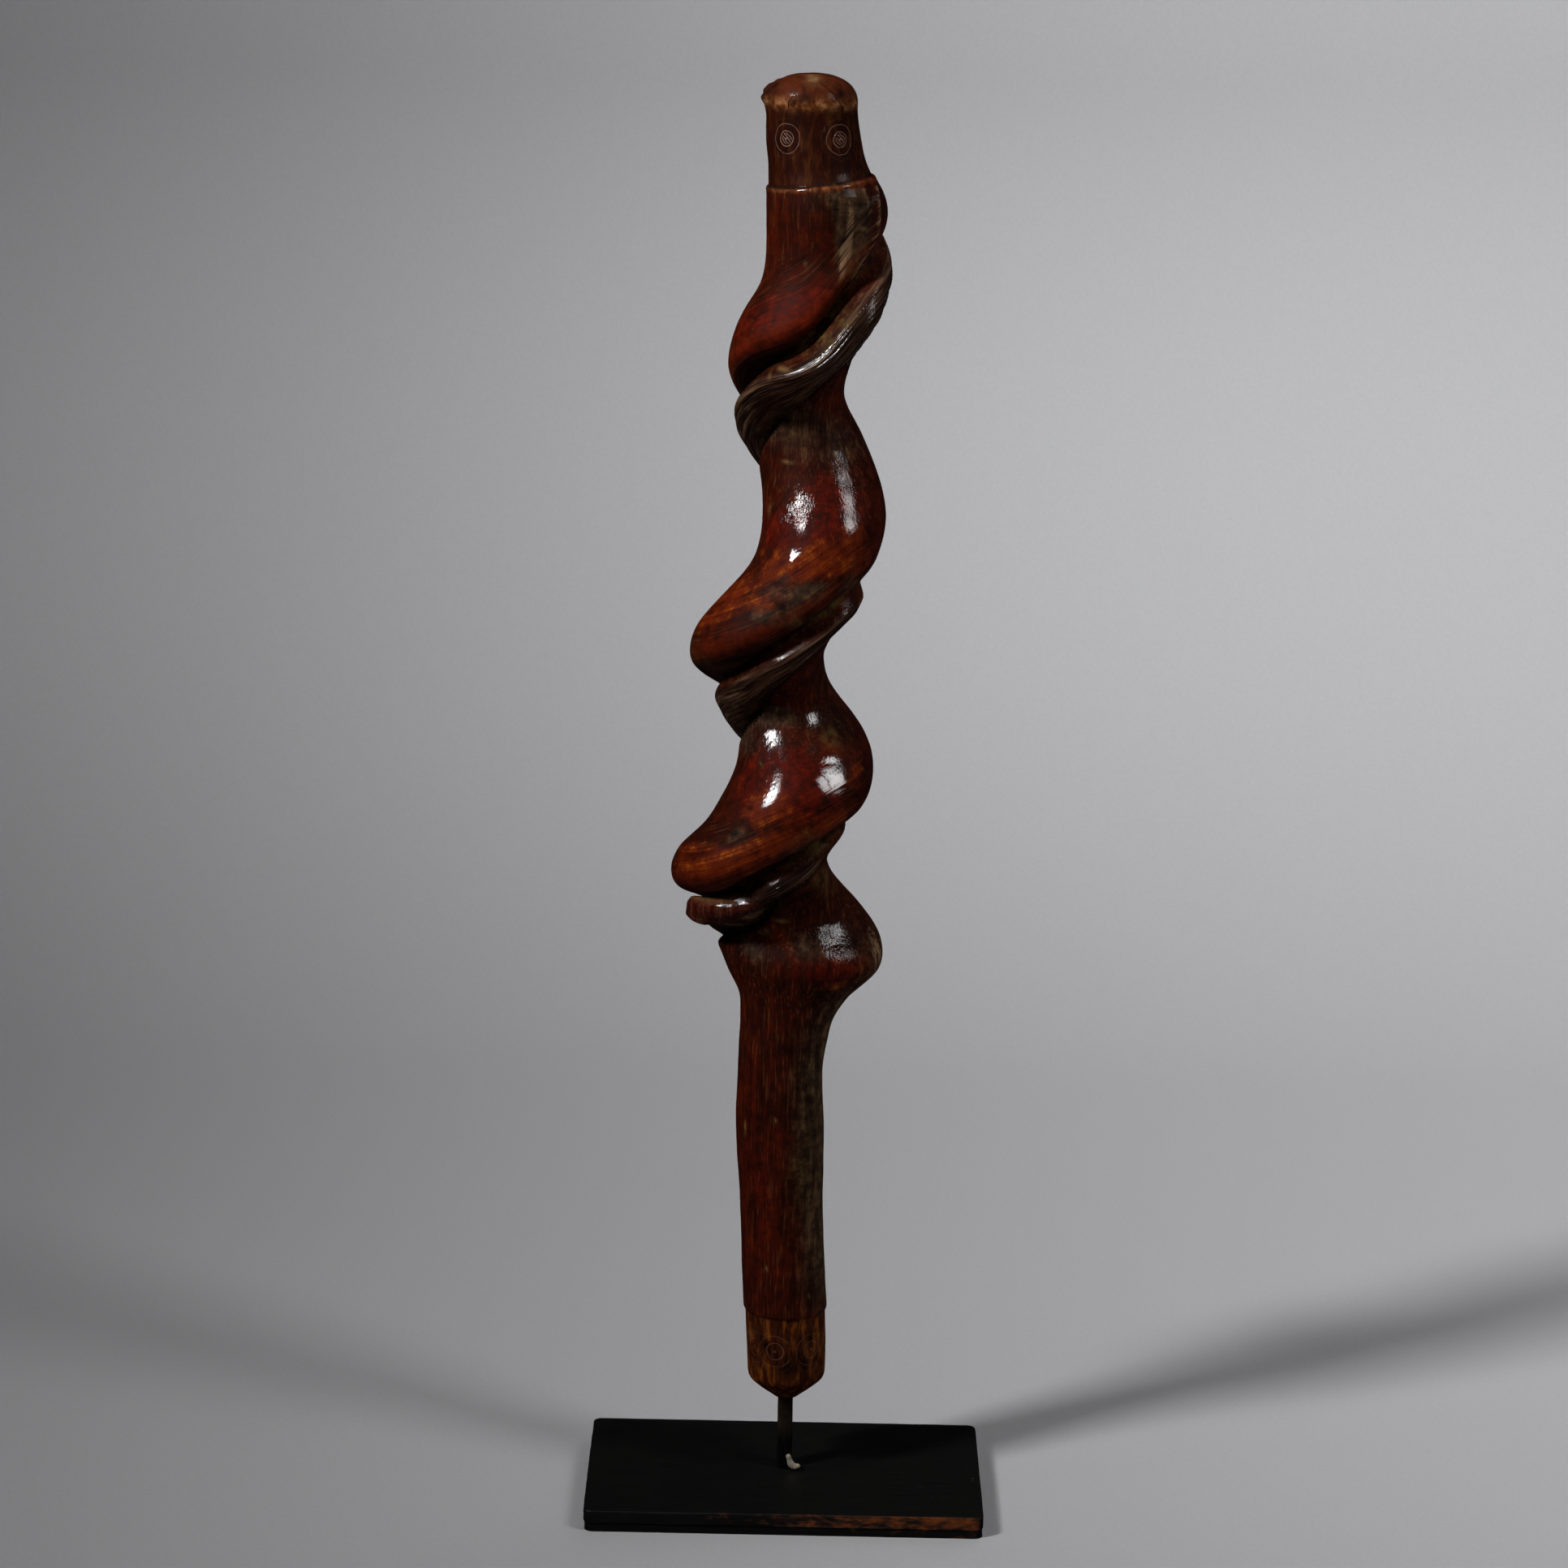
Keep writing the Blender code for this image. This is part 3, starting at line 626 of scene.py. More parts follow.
# %% Washes of colour
# For each wash: degrees round, height, half width in degrees, half height in mm, amount
WASHES = {
    "amber": (
        (-160, 0.2335, 26, 5.5, 0.9), (-120, 0.2430, 30, 4.0, 0.9), (-80, 0.2465, 34, 3.6, 1.0),
        (-62, 0.2510, 14, 3.0, 0.8), (-112, 0.2350, 20, 2.2, 0.6), (-50, 0.2440, 30, 2.2, 0.5),
        (-140, 0.1700, 30, 3.6, 1.0), (-105, 0.1720, 24, 3.4, 0.9), (-84, 0.1775, 22, 2.4, 0.8),
        (-58, 0.1822, 20, 2.6, 0.9), (-45, 0.1780, 12, 2.6, 0.6), (175, 0.2300, 30, 6.0, 0.6),
        (-66, 0.1375, 16, 1.6, 0.6), (-50, 0.1415, 12, 1.4, 0.5), (100, 0.2350, 60, 6.0, 0.6),
        (90, 0.1700, 60, 6.0, 0.6), (-118, 0.1860, 16, 6.0, 0.6), (-42, 0.1920, 10, 5.0, 0.6),
        (-107, 0.1835, 22, 2.0, 0.5), (60, 0.1400, 50, 4.0, 0.4), (-97, 0.1490, 8, 3.0, 0.5),
    ),
    "olive": (
        (-63, 0.3150, 12, 4.0, 0.3), (-57, 0.2005, 14, 2.4, 0.9), (-71, 0.1788, 7, 1.6, 0.8),
        (-37, 0.1736, 10, 2.0, 0.8), (-146, 0.2185, 20, 2.4, 0.7), (-26, 0.1640, 14, 4.0, 0.8),
        (-63, 0.0873, 14, 6.0, 0.6), (-20, 0.0950, 40, 42.0, 0.25), (-75, 0.2317, 8, 1.1, 1.0),
        (-62, 0.2322, 9, 1.1, 1.2), (-52, 0.2331, 8, 1.1, 1.3), (-44, 0.2354, 7, 1.3, 1.3),
        (-37, 0.2391, 6, 1.8, 1.2), (-61, 0.3034, 8, 1.3, 1.0), (-71, 0.2988, 8, 1.3, 1.0),
        (-81, 0.2966, 8, 1.1, 0.9), (120, 0.3050, 50, 9.0, 0.5), (60, 0.2100, 60, 6.0, 0.5),
        (-78, 0.3310, 22, 3.0, 0.25),
    ),
    "tan_and_edge_highlight": (
        (-44, 0.3310, 4, 4.0, 0.5), (-66, 0.3235, 3.6, 6.0, 1.1), (-72, 0.3165, 3.2, 4.0, 1.0),
        (-20, 0.1440, 9, 5.0, 0.8), (-52, 0.2700, 5, 4.0, 0.3),
    ),
    "dusk": (
        (-122, 0.2052, 34, 3.0, 0.8), (-99, 0.2045, 24, 2.6, 0.6), (-158, 0.1982, 24, 4.0, 0.8),
        (-66, 0.3310, 20, 4.5, 1.1), (-60, 0.3230, 16, 7.0, 1.1), (-75, 0.3240, 6, 9.0, 0.7),
        (-117, 0.2400, 9, 2.4, 0.8), (-102, 0.2350, 16, 2.4, 1.1), (-84, 0.2385, 16, 2.2, 1.1),
        (-62, 0.1762, 26, 2.2, 1.0), (-124, 0.1775, 7, 1.8, 1.0), (-52, 0.2420, 8, 4.5, 0.7),
        (-123, 0.1455, 12, 3.6, 0.6), (-84, 0.1470, 12, 4.0, 0.6), (-22, 0.0950, 46, 45.0, 1.15),
        (-98, 0.2328, 18, 1.7, 1.2), (80, 0.1000, 60, 40.0, 0.5), (90, 0.2700, 60, 9.0, 0.6),
        (-50, 0.2720, 40, 8.0, 0.4), (-115, 0.2760, 50, 8.0, 0.6),
    ),
    "fire": (
        (-140, 0.3000, 34, 6.0, 0.9), (-105, 0.3020, 30, 6.0, 0.8), (-90, 0.3080, 22, 5.0, 0.6),
        (-136, 0.2510, 30, 4.5, 0.9), (-100, 0.2540, 34, 5.0, 0.8), (-80, 0.2600, 26, 6.0, 0.6),
        (-127, 0.1890, 30, 6.0, 0.8), (-98, 0.1920, 30, 6.0, 0.8), (-74, 0.1860, 24, 5.0, 0.8),
        (-165, 0.0900, 40, 45.0, 0.35), (-120, 0.0900, 24, 42.0, 0.3), (-60, 0.1415, 34, 3.4, 0.9),
        (90, 0.2500, 60, 9.0, 0.5), (100, 0.3200, 60, 9.0, 0.4), (-127, 0.1905, 16, 4.0, 0.6),
    ),
}
washes = {name: np.zeros(len(points)) for name in (*WASHES, "scraped")}
for name, ovals in WASHES.items():
    for around, height, half_turn, half_height, amount in ovals:
        turned = (np.degrees(ring_around) - around + 180) % 360 - 180
        washes[name] += amount * hump(turned, half_turn) * hump(ring_z - height, half_height * MM)
# Along the uppermost lip's sharp edge the pale tan line is a painted highlight.
washes["tan_and_edge_highlight"] += 0.9 * hump(from_lip_edge, 0.55 * MM)
washes["amber"] += (0.5 + 0.4 * np.cos(ring_around)) * hump(above_upper + 1.0 * MM, 0.7 * MM)
print(sum(len(ovals) for ovals in WASHES.values()), "ovals in", len(WASHES), "washes")

# %% Flats left by the scraper, and places polished until they mirror a lamp
# Here the fibres stand up and break the gloss: degrees round, height, half sizes in mm
FLATS = (
    (-120, 0.2559, 3.4, 1.8), (-137, 0.2539, 3.4, 2.0), (-102, 0.2581, 2.6, 1.6), (-63, 0.2670, 1.8, 2.2),
    (-62, 0.2620, 1.8, 2.2), (-115, 0.3168, 3.0, 2.6), (-101, 0.3130, 2.6, 2.2), (-63, 0.1496, 2.2, 1.8),
    (-58, 0.1443, 2.6, 1.8), (60, 0.3200, 4.0, 2.6), (120, 0.2450, 5.0, 2.6),
)
for oval in FLATS:
    washes["scraped"] = np.maximum(washes["scraped"], patch(*oval))

# Polished by hands and wax: degrees round, height, half sizes in mm, amount
POLISHED = (
    (-115, 0.2466, 2.0, 1.7, 1.0), (-64, 0.2497, 3.6, 4.4, 1.0), (-66, 0.2618, 3.4, 5.0, 0.8),
    (-67, 0.2680, 3.0, 4.0, 0.6), (-120, 0.2560, 4.6, 3.2, 0.8), (-69, 0.1956, 3.6, 3.6, 1.0),
    (-65, 0.1916, 4.0, 4.0, 1.0), (-56, 0.1870, 3.6, 3.6, 1.0), (-69, 0.2039, 1.6, 2.4, 1.0),
    (-108, 0.2000, 2.2, 3.4, 0.9), (-120, 0.1940, 2.4, 4.0, 1.0), (-123, 0.1885, 2.4, 3.0, 1.0),
    (-45, 0.3278, 2.6, 4.0, 0.8), (-52, 0.3208, 2.4, 3.6, 0.6), (-35, 0.3227, 2.4, 5.0, 0.9),
    (-62, 0.1480, 3.2, 4.2, 1.0), (-47, 0.1665, 2.4, 2.4, 0.7), (60, 0.2500, 8.0, 9.0, 0.8),
    (100, 0.1900, 8.0, 9.0, 0.8), (80, 0.3050, 8.0, 8.0, 0.7), (130, 0.1450, 6.0, 8.0, 0.7),
    (20, 0.2250, 7.0, 8.0, 0.7), (90, 0.0900, 5.0, 25.0, 0.4),
)
washes["polished"] = 0.08 * head * (1 - 0.6 * crown) + 0.75 * np.clip(notes["vine"], 0, 1) + 0.7 * rim
washes["polished"] += 0.5 * bead
for *oval, amount in POLISHED:
    washes["polished"] = np.maximum(washes["polished"], amount * patch(*oval) ** 0.5)
washes["polished"] = np.clip(np.maximum(washes["polished"], lip_edge), 0, 1)
print(len(FLATS), "scraped flats and", len(POLISHED), "polished places")

# %% Dirt and painted shade gather in hollows, and the points move
# A point is hollow where four neighbours, one reach away on each side, lie further out than it does
HOLLOW_REACH = 2.2 * MM
REACH_AROUND = HOLLOW_REACH / 0.014      # the same in radians, on a stem of 14 mm radius


def move_points(piece, spots):
    """Puts the points of a piece's mesh at these spots."""
    piece.data.vertices.foreach_set("co", spots.ravel())
    piece.data.update()


neighbours = [main_form(ring_z + up, ring_around + sideways)[0] for up, sideways in (
    (HOLLOW_REACH, 0), (-HOLLOW_REACH, 0), (0, REACH_AROUND), (0, -REACH_AROUND))]
hollow = np.einsum("ij,ij->i", sum(neighbours) / 4 - points, normals) / MM
points = points + relief[:, None] * normals
move_points(staff, points)
print("hollows up to", round(hollow.max(), 2), "mm deep over", HOLLOW_REACH / MM * 2, "mm")


# %% What the material needs to know about each point is stored on the mesh
def store(mesh, name, values):
    kind = "FLOAT" if values.ndim == 1 else "FLOAT_VECTOR"
    layer = mesh.attributes.new(name, kind, "POINT")
    layer.data.foreach_set("value" if kind == "FLOAT" else "vector", values.astype(np.float32).ravel())


strand = np.stack([notes["below"], notes["along"], np.zeros_like(ring_z)], axis=1)
bead_painted_highlight = bead * hump(ring_around + 1.6, 1.4)      # in radians: a pale line painted on the collar's bead in front is a painted highlight
form = {name: notes[name] for name in ("crease", "vine", "lip", "flow", "under")}
for name, values in {
    "strand": strand, "mark": mark, "marked": marked, "crack_side": crack_side, "cracked": cracked, **form,
    "hollow": hollow, "head": head, "foot": foot, "bead": bead_painted_highlight, "rim": rim, "crown": crown,
    **painted, **washes,
}.items():
    store(staff.data, name, values)
print(len(staff.data.attributes), "attributes on the staff")

# %% [markdown]
# ## The socket and the vine's cut stub
# The rod goes up into a drilled hole. The flat face under the tip is inset to the hole's radius and extruded
# upwards. The stub is a ball whose rings are laid along a short path that leaves the stem, and a Boolean
# joins it to the staff, so that the wood stays one closed skin.

# %% Socket drilled from below
pick(staff)
bpy.ops.object.mode_set(mode="EDIT")
bpy.ops.mesh.select_all(action="DESELECT")
bpy.ops.object.mode_set(mode="OBJECT")
ends = [face for face in staff.data.polygons if len(face.vertices) > 4]
bottom = min(ends, key=lambda face: face.center.z)
bottom.select = True
bpy.ops.object.mode_set(mode="EDIT")
tip_edge = min((staff.data.vertices[i].co.xy - Vector((0, ROD_Y))).length for i in bottom.vertices)
bpy.ops.mesh.inset(thickness=max(tip_edge - SOCKET_RADIUS, 0.1 * MM), use_even_offset=True)
bpy.ops.mesh.extrude_region_move(TRANSFORM_OT_translate={"value": (0, 0, SOCKET_DEPTH)})
bpy.ops.mesh.select_all(action="DESELECT")
bpy.ops.mesh.select_face_by_sides(number=4, type="GREATER")
bpy.ops.mesh.poke()
bpy.ops.object.mode_set(mode="OBJECT")
print("tip's edge is", round(tip_edge / MM, 2), "mm from the axis, the socket", SOCKET_RADIUS / MM, "mm")

# %% A ball to lay along a route, for the stub and later for the wax
# The route of the stub: degrees wound, height and reach from its own middle line
STUB_ROUTE = ((88, 0.1642, 0.0142), (128, 0.1577, 0.0168), (170, 0.1546, 0.0212))
STUB_MIDDLE_X = -0.0043
STUB_HALF_HEIGHT = 0.0037
STUB_HALF_THICKNESS = 0.0034
STUB_ROOT_SIZE = 0.35
STUB_FULL_FROM = 0.7
STUB_BLUNTNESS = 0.4
STUB_LUMP = 0.08
STUB_LUMP_TURN = 9
STUB_KNOBS = ((3.2 * MM, 0.45 * MM, 2.0), (1.2 * MM, 0.25 * MM, 4.0))     # lump size, height, seed


def ball(name, segments, rings):
    """A ball of radius 1, with the share from bottom to top and the turn of each point."""
    start_clean()
    bpy.ops.mesh.primitive_uv_sphere_add(segments=segments, ring_count=rings, radius=1.0, location=(0, 0, 0))
    piece = bpy.context.object
    piece.name = name
    x, y, z = points_of(piece).T
    return piece, 0.5 + 0.5 * z, np.arctan2(y, x)


def along_route(route, share):
    """Points at shares of a route's length, from 0 at its start to 1 at its end."""
    at = share * (len(route) - 1)
    columns = [[(i, row[column]) for i, row in enumerate(route)] for column in range(len(route[0]))]
    return np.stack([through(column, at) for column in columns], axis=-1)


def across(middle_at, share, level):
    """Two directions square to a route, the first of them also square to `level`."""
    ahead = middle_at(share + 0.01) - middle_at(share - 0.01)
    ahead /= np.linalg.norm(ahead, axis=-1, keepdims=True)
    side = np.cross(ahead, level)
    side /= np.linalg.norm(side, axis=-1, keepdims=True)
    return side, np.cross(side, ahead)


print("the stub is about", round(2 * STUB_HALF_HEIGHT / MM, 1), "mm high")


# %% Stub: an oval bar with blunt, slightly lumpy ends
def stub_middle(share):
    wound, height, reach = along_route(STUB_ROUTE, share).T
    angle = -np.radians(wound)
    return np.stack([STUB_MIDDLE_X + reach * np.cos(angle), ROD_Y + reach * np.sin(angle), height], axis=-1)


stub, share, turn = ball("stub", 56, 40)
side, above = across(stub_middle, share, (0, 0, 1))
lump = 1 + STUB_LUMP * np.sin(3 * turn + STUB_LUMP_TURN * share)
taper = np.interp(share, (0, STUB_FULL_FROM), (STUB_ROOT_SIZE, 1))
size = taper * np.clip(1 - (2 * share - 1) ** 2, 0, 1) ** (STUB_BLUNTNESS / 2) * lump
thick = (STUB_HALF_THICKNESS * size * np.cos(turn))[:, None] * side
tall = (STUB_HALF_HEIGHT * size * np.sin(turn))[:, None] * above
stub_at = stub_middle(share) + thick + tall
outward = stub_at - stub_at.mean(axis=0)
outward /= np.linalg.norm(outward, axis=1, keepdims=True)
knobbly = sum(height * unevenness(stub_at, size, seed) for size, height, seed in STUB_KNOBS)
move_points(stub, stub_at + knobbly[:, None] * outward)
face_outwards()
print("stub of", len(stub.data.vertices), "points")

# %% The stub joins the staff, and the new points get their notes
before = points_of(staff)
tree = KDTree(len(before))
for i, spot in enumerate(before.tolist()):
    tree.insert(spot, i)
tree.balance()

pick(staff)
join = staff.modifiers.new("join", "BOOLEAN")
join.operation = "UNION"
join.solver = "EXACT"
join.object = stub
bpy.ops.object.modifier_apply(modifier="join")
bpy.data.objects.remove(stub, do_unlink=True)

SAME_SPOT = 0.001 * MM
STUB_NOTES = {"vine": 0.3, "fire": 0.5, "polished": 0.9, "crack_side": 9.0}
layers = staff.data.attributes
number_notes = [layer for layer in layers if layer.data_type == "FLOAT" and layer.domain == "POINT"]
for vertex in staff.data.vertices:
    if tree.find(vertex.co)[2] > SAME_SPOT:
        ledge = max(vertex.normal.z, 0) ** 3          # its upper side is rubbed amber and bare
        own = {**STUB_NOTES, "amber": 0.5 * ledge, "bare": 0.8 * ledge}
        for layer in number_notes:
            layer.data[vertex.index].value = own.get(layer.name, 0.0)
        x, y, z = vertex.co
        layers["strand"].data[vertex.index].vector = (1.4 * z, -x, y)
bpy.ops.object.shade_smooth_by_angle(angle=math.radians(50))
triangles = sum(len(face.vertices) - 2 for face in staff.data.polygons)
print("staff:", len(staff.data.vertices), "points,", triangles, "triangles")

# %% [markdown]
# ## Materials: one helper for nodes, one for colours
# Every material is built from nodes, so that it has no picture to lose and fits any size. One function adds a
# node with its choices and its inputs, and returns the output that the next node needs. Colours are written
# as the eye reads them on a screen, in hexadecimal, and are turned to linear light.
#
# An input is given by its place where a node repeats a name. In Map Range, 0 is the value, 1 and 2 are the
# range that it comes from, and 3 and 4 the one it goes to, which is 0 to 1 unless set. In Mix, 0 is the
# share, 2 and 3 are the two numbers, and 6 and 7 the two colours. In Mapping, 0 is the vector, 2 the turn
# and 3 the scale.

# %% Helpers for materials
def linear(colour):
    """Linear red, green, blue and alpha of an sRGB colour such as '#8a5a2b'."""
    channels = [int(colour[i:i + 2], 16) / 255 for i in (1, 3, 5)]
    return [c / 12.92 if c <= 0.04045 else ((c + 0.055) / 1.055) ** 2.4 for c in channels] + [1.0]


def add(tree, kind, output, inputs, **choices):
    """Adds a node, sets its choices and its inputs (values or outputs), and returns one of its outputs."""
    made = tree.nodes.new("ShaderNode" + kind)
    for name, value in choices.items():
        setattr(made, name, value)
    for socket, value in inputs.items():
        if isinstance(value, bpy.types.NodeSocket):
            tree.links.new(value, made.inputs[socket])
        else:
            made.inputs[socket].default_value = value
    return made.outputs[output]


def new_material(name, **values):
    """A material with only its Principled shader, whose plain values are set here."""
    made = bpy.data.materials.new(name)
    made.use_nodes = True
    for socket, value in values.items():
        made.node_tree.nodes["Principled BSDF"].inputs[socket.replace("_", " ")].default_value = value
    return made, made.node_tree


def finish_with(piece, material, **ends):
    """Links each end of the nodes to the shader's input of that name, and gives the piece this material."""
    nodes = material.node_tree.nodes
    for socket, output in ends.items():
        material.node_tree.links.new(output, nodes["Principled BSDF"].inputs[socket.replace("_", " ")])
    piece.data.materials.clear()
    piece.data.materials.append(material)
    print(material.name, "has", len(nodes), "nodes")


def per_metre(size):
    """Noise scale whose features are about `size` metres across."""
    return 1 / size


# %% [markdown]
# ## Polished hardwood
# The branch is a dense tropical wood, stained and polished until it is almost black-red in the shade and
# amber where the polish is worn thin. Fibres run up the branch and bend to follow the lip; the noise that
# draws them is stretched about fourteen times along the grain. The crease and the hollows are darkened,
# partly for dirt and old varnish that stay there and partly as painted shade, with dull olive crusts. A clear
# coat gives the wet gloss, while fine bumps break the reflections into streaks.

# %% Wood: coordinates and the fibres
FIBRE_WIDTH = 0.55 * MM    # coarser than real fibres, which are too fine to show on the whole staff
FIBRE_STRETCH = 0.07
STREAK_WIDTH = 4.0 * FIBRE_WIDTH
BLOTCH_SIZE = 14 * MM
FLECK_SIZE = 2.6 * MM

wood, tree = new_material(
    "polished_hardwood", Metallic=0.0, IOR=1.52, Specular_IOR_Level=0.05, Coat_Roughness=0.06, Coat_IOR=1.6)
place = add(tree, "TexCoord", "Object", {})
strand_at = add(tree, "Attribute", "Vector", {}, attribute_name="strand")
mark_at = add(tree, "Attribute", "Vector", {}, attribute_name="mark")
note = {}
for name in ("crease", "vine", "lip", "under", "flow", "hollow", "head", "foot", "bead", "rim", "crown",
             "bare", "dark", "amber", "olive", "tan_and_edge_highlight", "dusk", "fire", "scraped", "polished", "marked",
             "crack_side", "cracked"):
    note[name] = add(tree, "Attribute", "Fac", {}, attribute_name=name)

upright_grain = add(tree, "Mapping", 0, {0: place, 3: (1, 1, FIBRE_STRETCH)})
strand_grain = add(tree, "Mapping", 0, {0: strand_at, 3: (1, FIBRE_STRETCH, 1)})
follows = add(tree, "Math", 0, {0: note["flow"], 1: note["vine"]}, operation="MAXIMUM")
follows = add(tree, "MapRange", 0, {0: follows, 1: 0.15, 2: 0.6}, interpolation_type="SMOOTHSTEP")
along_strand, grain = {}, {}
for name, settings in (
    ("fibres", {"Scale": per_metre(FIBRE_WIDTH), "Detail": 4.0, "Roughness": 0.6, "Distortion": 0.3}),
    ("streaks", {"Scale": per_metre(STREAK_WIDTH), "Detail": 3.0, "Roughness": 0.55}),
):
    upwards = add(tree, "TexNoise", 0, {"Vector": upright_grain, **settings})
    along_strand[name] = add(tree, "TexNoise", 0, {"Vector": strand_grain, **settings})
    grain[name] = add(tree, "Mix", 0, {0: follows, 2: upwards, 3: along_strand[name]})
fibres, streaks = grain["fibres"], grain["streaks"]
blotches = add(tree, "TexNoise", 0, {
    "Vector": place, "Scale": per_metre(BLOTCH_SIZE), "Detail": 4.0, "Roughness": 0.6, "Distortion": 0.4})
flecks = add(tree, "TexNoise", 0, {
    "Vector": place, "Scale": per_metre(FLECK_SIZE), "Detail": 5.0, "Roughness": 0.65, "Distortion": 0.2})
print("fibres about", FIBRE_WIDTH / MM, "mm wide and", round(FIBRE_WIDTH / FIBRE_STRETCH / MM, 1), "mm long")

# %% Wood: the stains, each a ramp of colours that the grain runs through
SOOT_BROWN = linear("#1a0703")
OXBLOOD = linear("#300c03")
MAHOGANY = linear("#421003")
RUSSET = linear("#5e1c05")
FIRE = linear("#480c02")
FLAME = linear("#661703")
AMBER = linear("#8e460c")
WORN_ORANGE = linear("#6c2606")
UMBER = linear("#401004")
SMOKE = linear("#120a07")
DUSK = linear("#38261a")
ASH_BROWN = linear("#644a32")
VINE_SHADE = linear("#150b08")
VINE_BROWN = linear("#361f15")
VINE_PALE = linear("#70523e")
PLUM_SHADE = linear("#1c0a07")
MAUVE_FLOOR_REFLECTION = linear("#3c1a12")
PLUM_FLOOR_REFLECTION = linear("#5c2c1e")
# The ramp of the rim and the bead: worn gold, whose pale end is partly a painted highlight.
RIM_SHADE = linear("#4a2410")
RIM_BROWN = linear("#80481f")
RIM_GOLD_AND_HIGHLIGHT = linear("#b07a52")
SCORCH = linear("#190803")
HEAD_BROWN = linear("#2d0d04")
HEAD_GOLD = linear("#4a260b")
FOOT_BROWN = linear("#401a06")
FOOT_GOLD = linear("#7a4012")
END_STREAK = 1.6 * MM

grain_mix = add(tree, "Mix", 0, {0: 0.45, 2: streaks, 3: fibres})
tone = add(tree, "Mix", 0, {0: 0.50, 2: grain_mix, 3: blotches})
tone = add(tree, "Mix", 0, {0: 0.30, 2: tone, 3: flecks})
worn_streaks = add(tree, "Mix", 0, {0: 0.5, 2: grain_mix, 3: flecks})
end_grain = add(tree, "Mapping", 0, {0: place, 3: (1, 1, 0.25)})
end_streaks = add(tree, "TexNoise", 0, {
    "Vector": end_grain, "Scale": per_metre(END_STREAK), "Detail": 4.0, "Roughness": 0.6, "Distortion": 0.5})
end_tone = add(tree, "Mix", 0, {0: 0.35, 2: end_streaks, 3: blotches})

stains = {}
for name, source, low, high, stops in (
    ("stain", tone, 0.38, 0.62, ((0.0, SOOT_BROWN), (0.45, OXBLOOD), (0.75, MAHOGANY), (1.0, RUSSET))),
    ("worn", worn_streaks, 0.38, 0.62, ((0.0, UMBER), (0.35, RUSSET), (0.72, WORN_ORANGE), (1.0, AMBER))),
    ("fire", worn_streaks, 0.38, 0.64, ((0.0, SOOT_BROWN), (0.5, FIRE), (1.0, FLAME))),
    ("dusk", worn_streaks, 0.36, 0.64, ((0.0, SMOKE), (0.5, DUSK), (1.0, ASH_BROWN))),
    ("vine", grain_mix, 0.38, 0.62, ((0.0, VINE_SHADE), (0.5, VINE_BROWN), (1.0, VINE_PALE))),
    # underside: dim plum and mauve round each crease, a painted reflection of the pale floor under the lips.
    ("under", grain_mix, 0.38, 0.62, ((0.0, PLUM_SHADE), (0.5, MAUVE_FLOOR_REFLECTION), (1.0, PLUM_FLOOR_REFLECTION))),
    ("edge", flecks, 0.36, 0.66, ((0.0, RIM_SHADE), (0.5, RIM_BROWN), (1.0, RIM_GOLD_AND_HIGHLIGHT))),
    ("head", end_tone, 0.36, 0.66, ((0.0, SCORCH), (0.5, HEAD_BROWN), (1.0, HEAD_GOLD))),
    ("foot", end_tone, 0.38, 0.62, ((0.0, SCORCH), (0.5, FOOT_BROWN), (1.0, FOOT_GOLD))),
):
    ramp = tree.nodes.new("ShaderNodeValToRGB")
    ramp.color_ramp.elements[0].color = stops[0][1]
    ramp.color_ramp.elements[1].color = stops[-1][1]
    for position, stop in stops[1:-1]:
        ramp.color_ramp.elements.new(position).color = stop
    tree.links.new(add(tree, "MapRange", 0, {0: source, 1: low, 2: high}), ramp.inputs[0])
    stains[name] = ramp.outputs["Color"]
print(len(stains), "stains:", ", ".join(stains))

# %% Wood: worn amber, fire-red glow, brown ends and the other washes over the stain, with painted highlights on the bead and rim and a painted floor reflection under the lips
PALE_STREAK = linear("#5e4224")
# Pale tan for the real tan streaks, and for the painted highlight along the lip's edge.
TAN_AND_HIGHLIGHT = linear("#8c6c50")
CROWN_RED = linear("#582610")
RAGGED = 0.8               # how far the grain shifts the edge of a wash
WASH_STARTS = RAGGED / 2 + 0.20
WASH_IS_FULL = RAGGED / 2 + 0.65

patchy = add(tree, "MapRange", 0, {0: flecks, 1: 0.35, 2: 0.62, 3: 0.35, 4: 1.0})
patchy_streaks = add(tree, "MapRange", 0, {0: grain_mix, 1: 0.40, 2: 0.60, 3: 0.35, 4: 1.0})
brushed = add(tree, "MapRange", 0, {0: grain_mix, 1: 0.45, 2: 0.56, 3: 0.0, 4: 1.0})
pale_streaks = add(tree, "MapRange", 0, {0: fibres, 1: 0.56, 2: 0.72, 3: 0.0, 4: 0.55})
colour = add(tree, "Mix", 2, {0: pale_streaks, 6: stains["stain"], 7: PALE_STREAK}, data_type="RGBA")

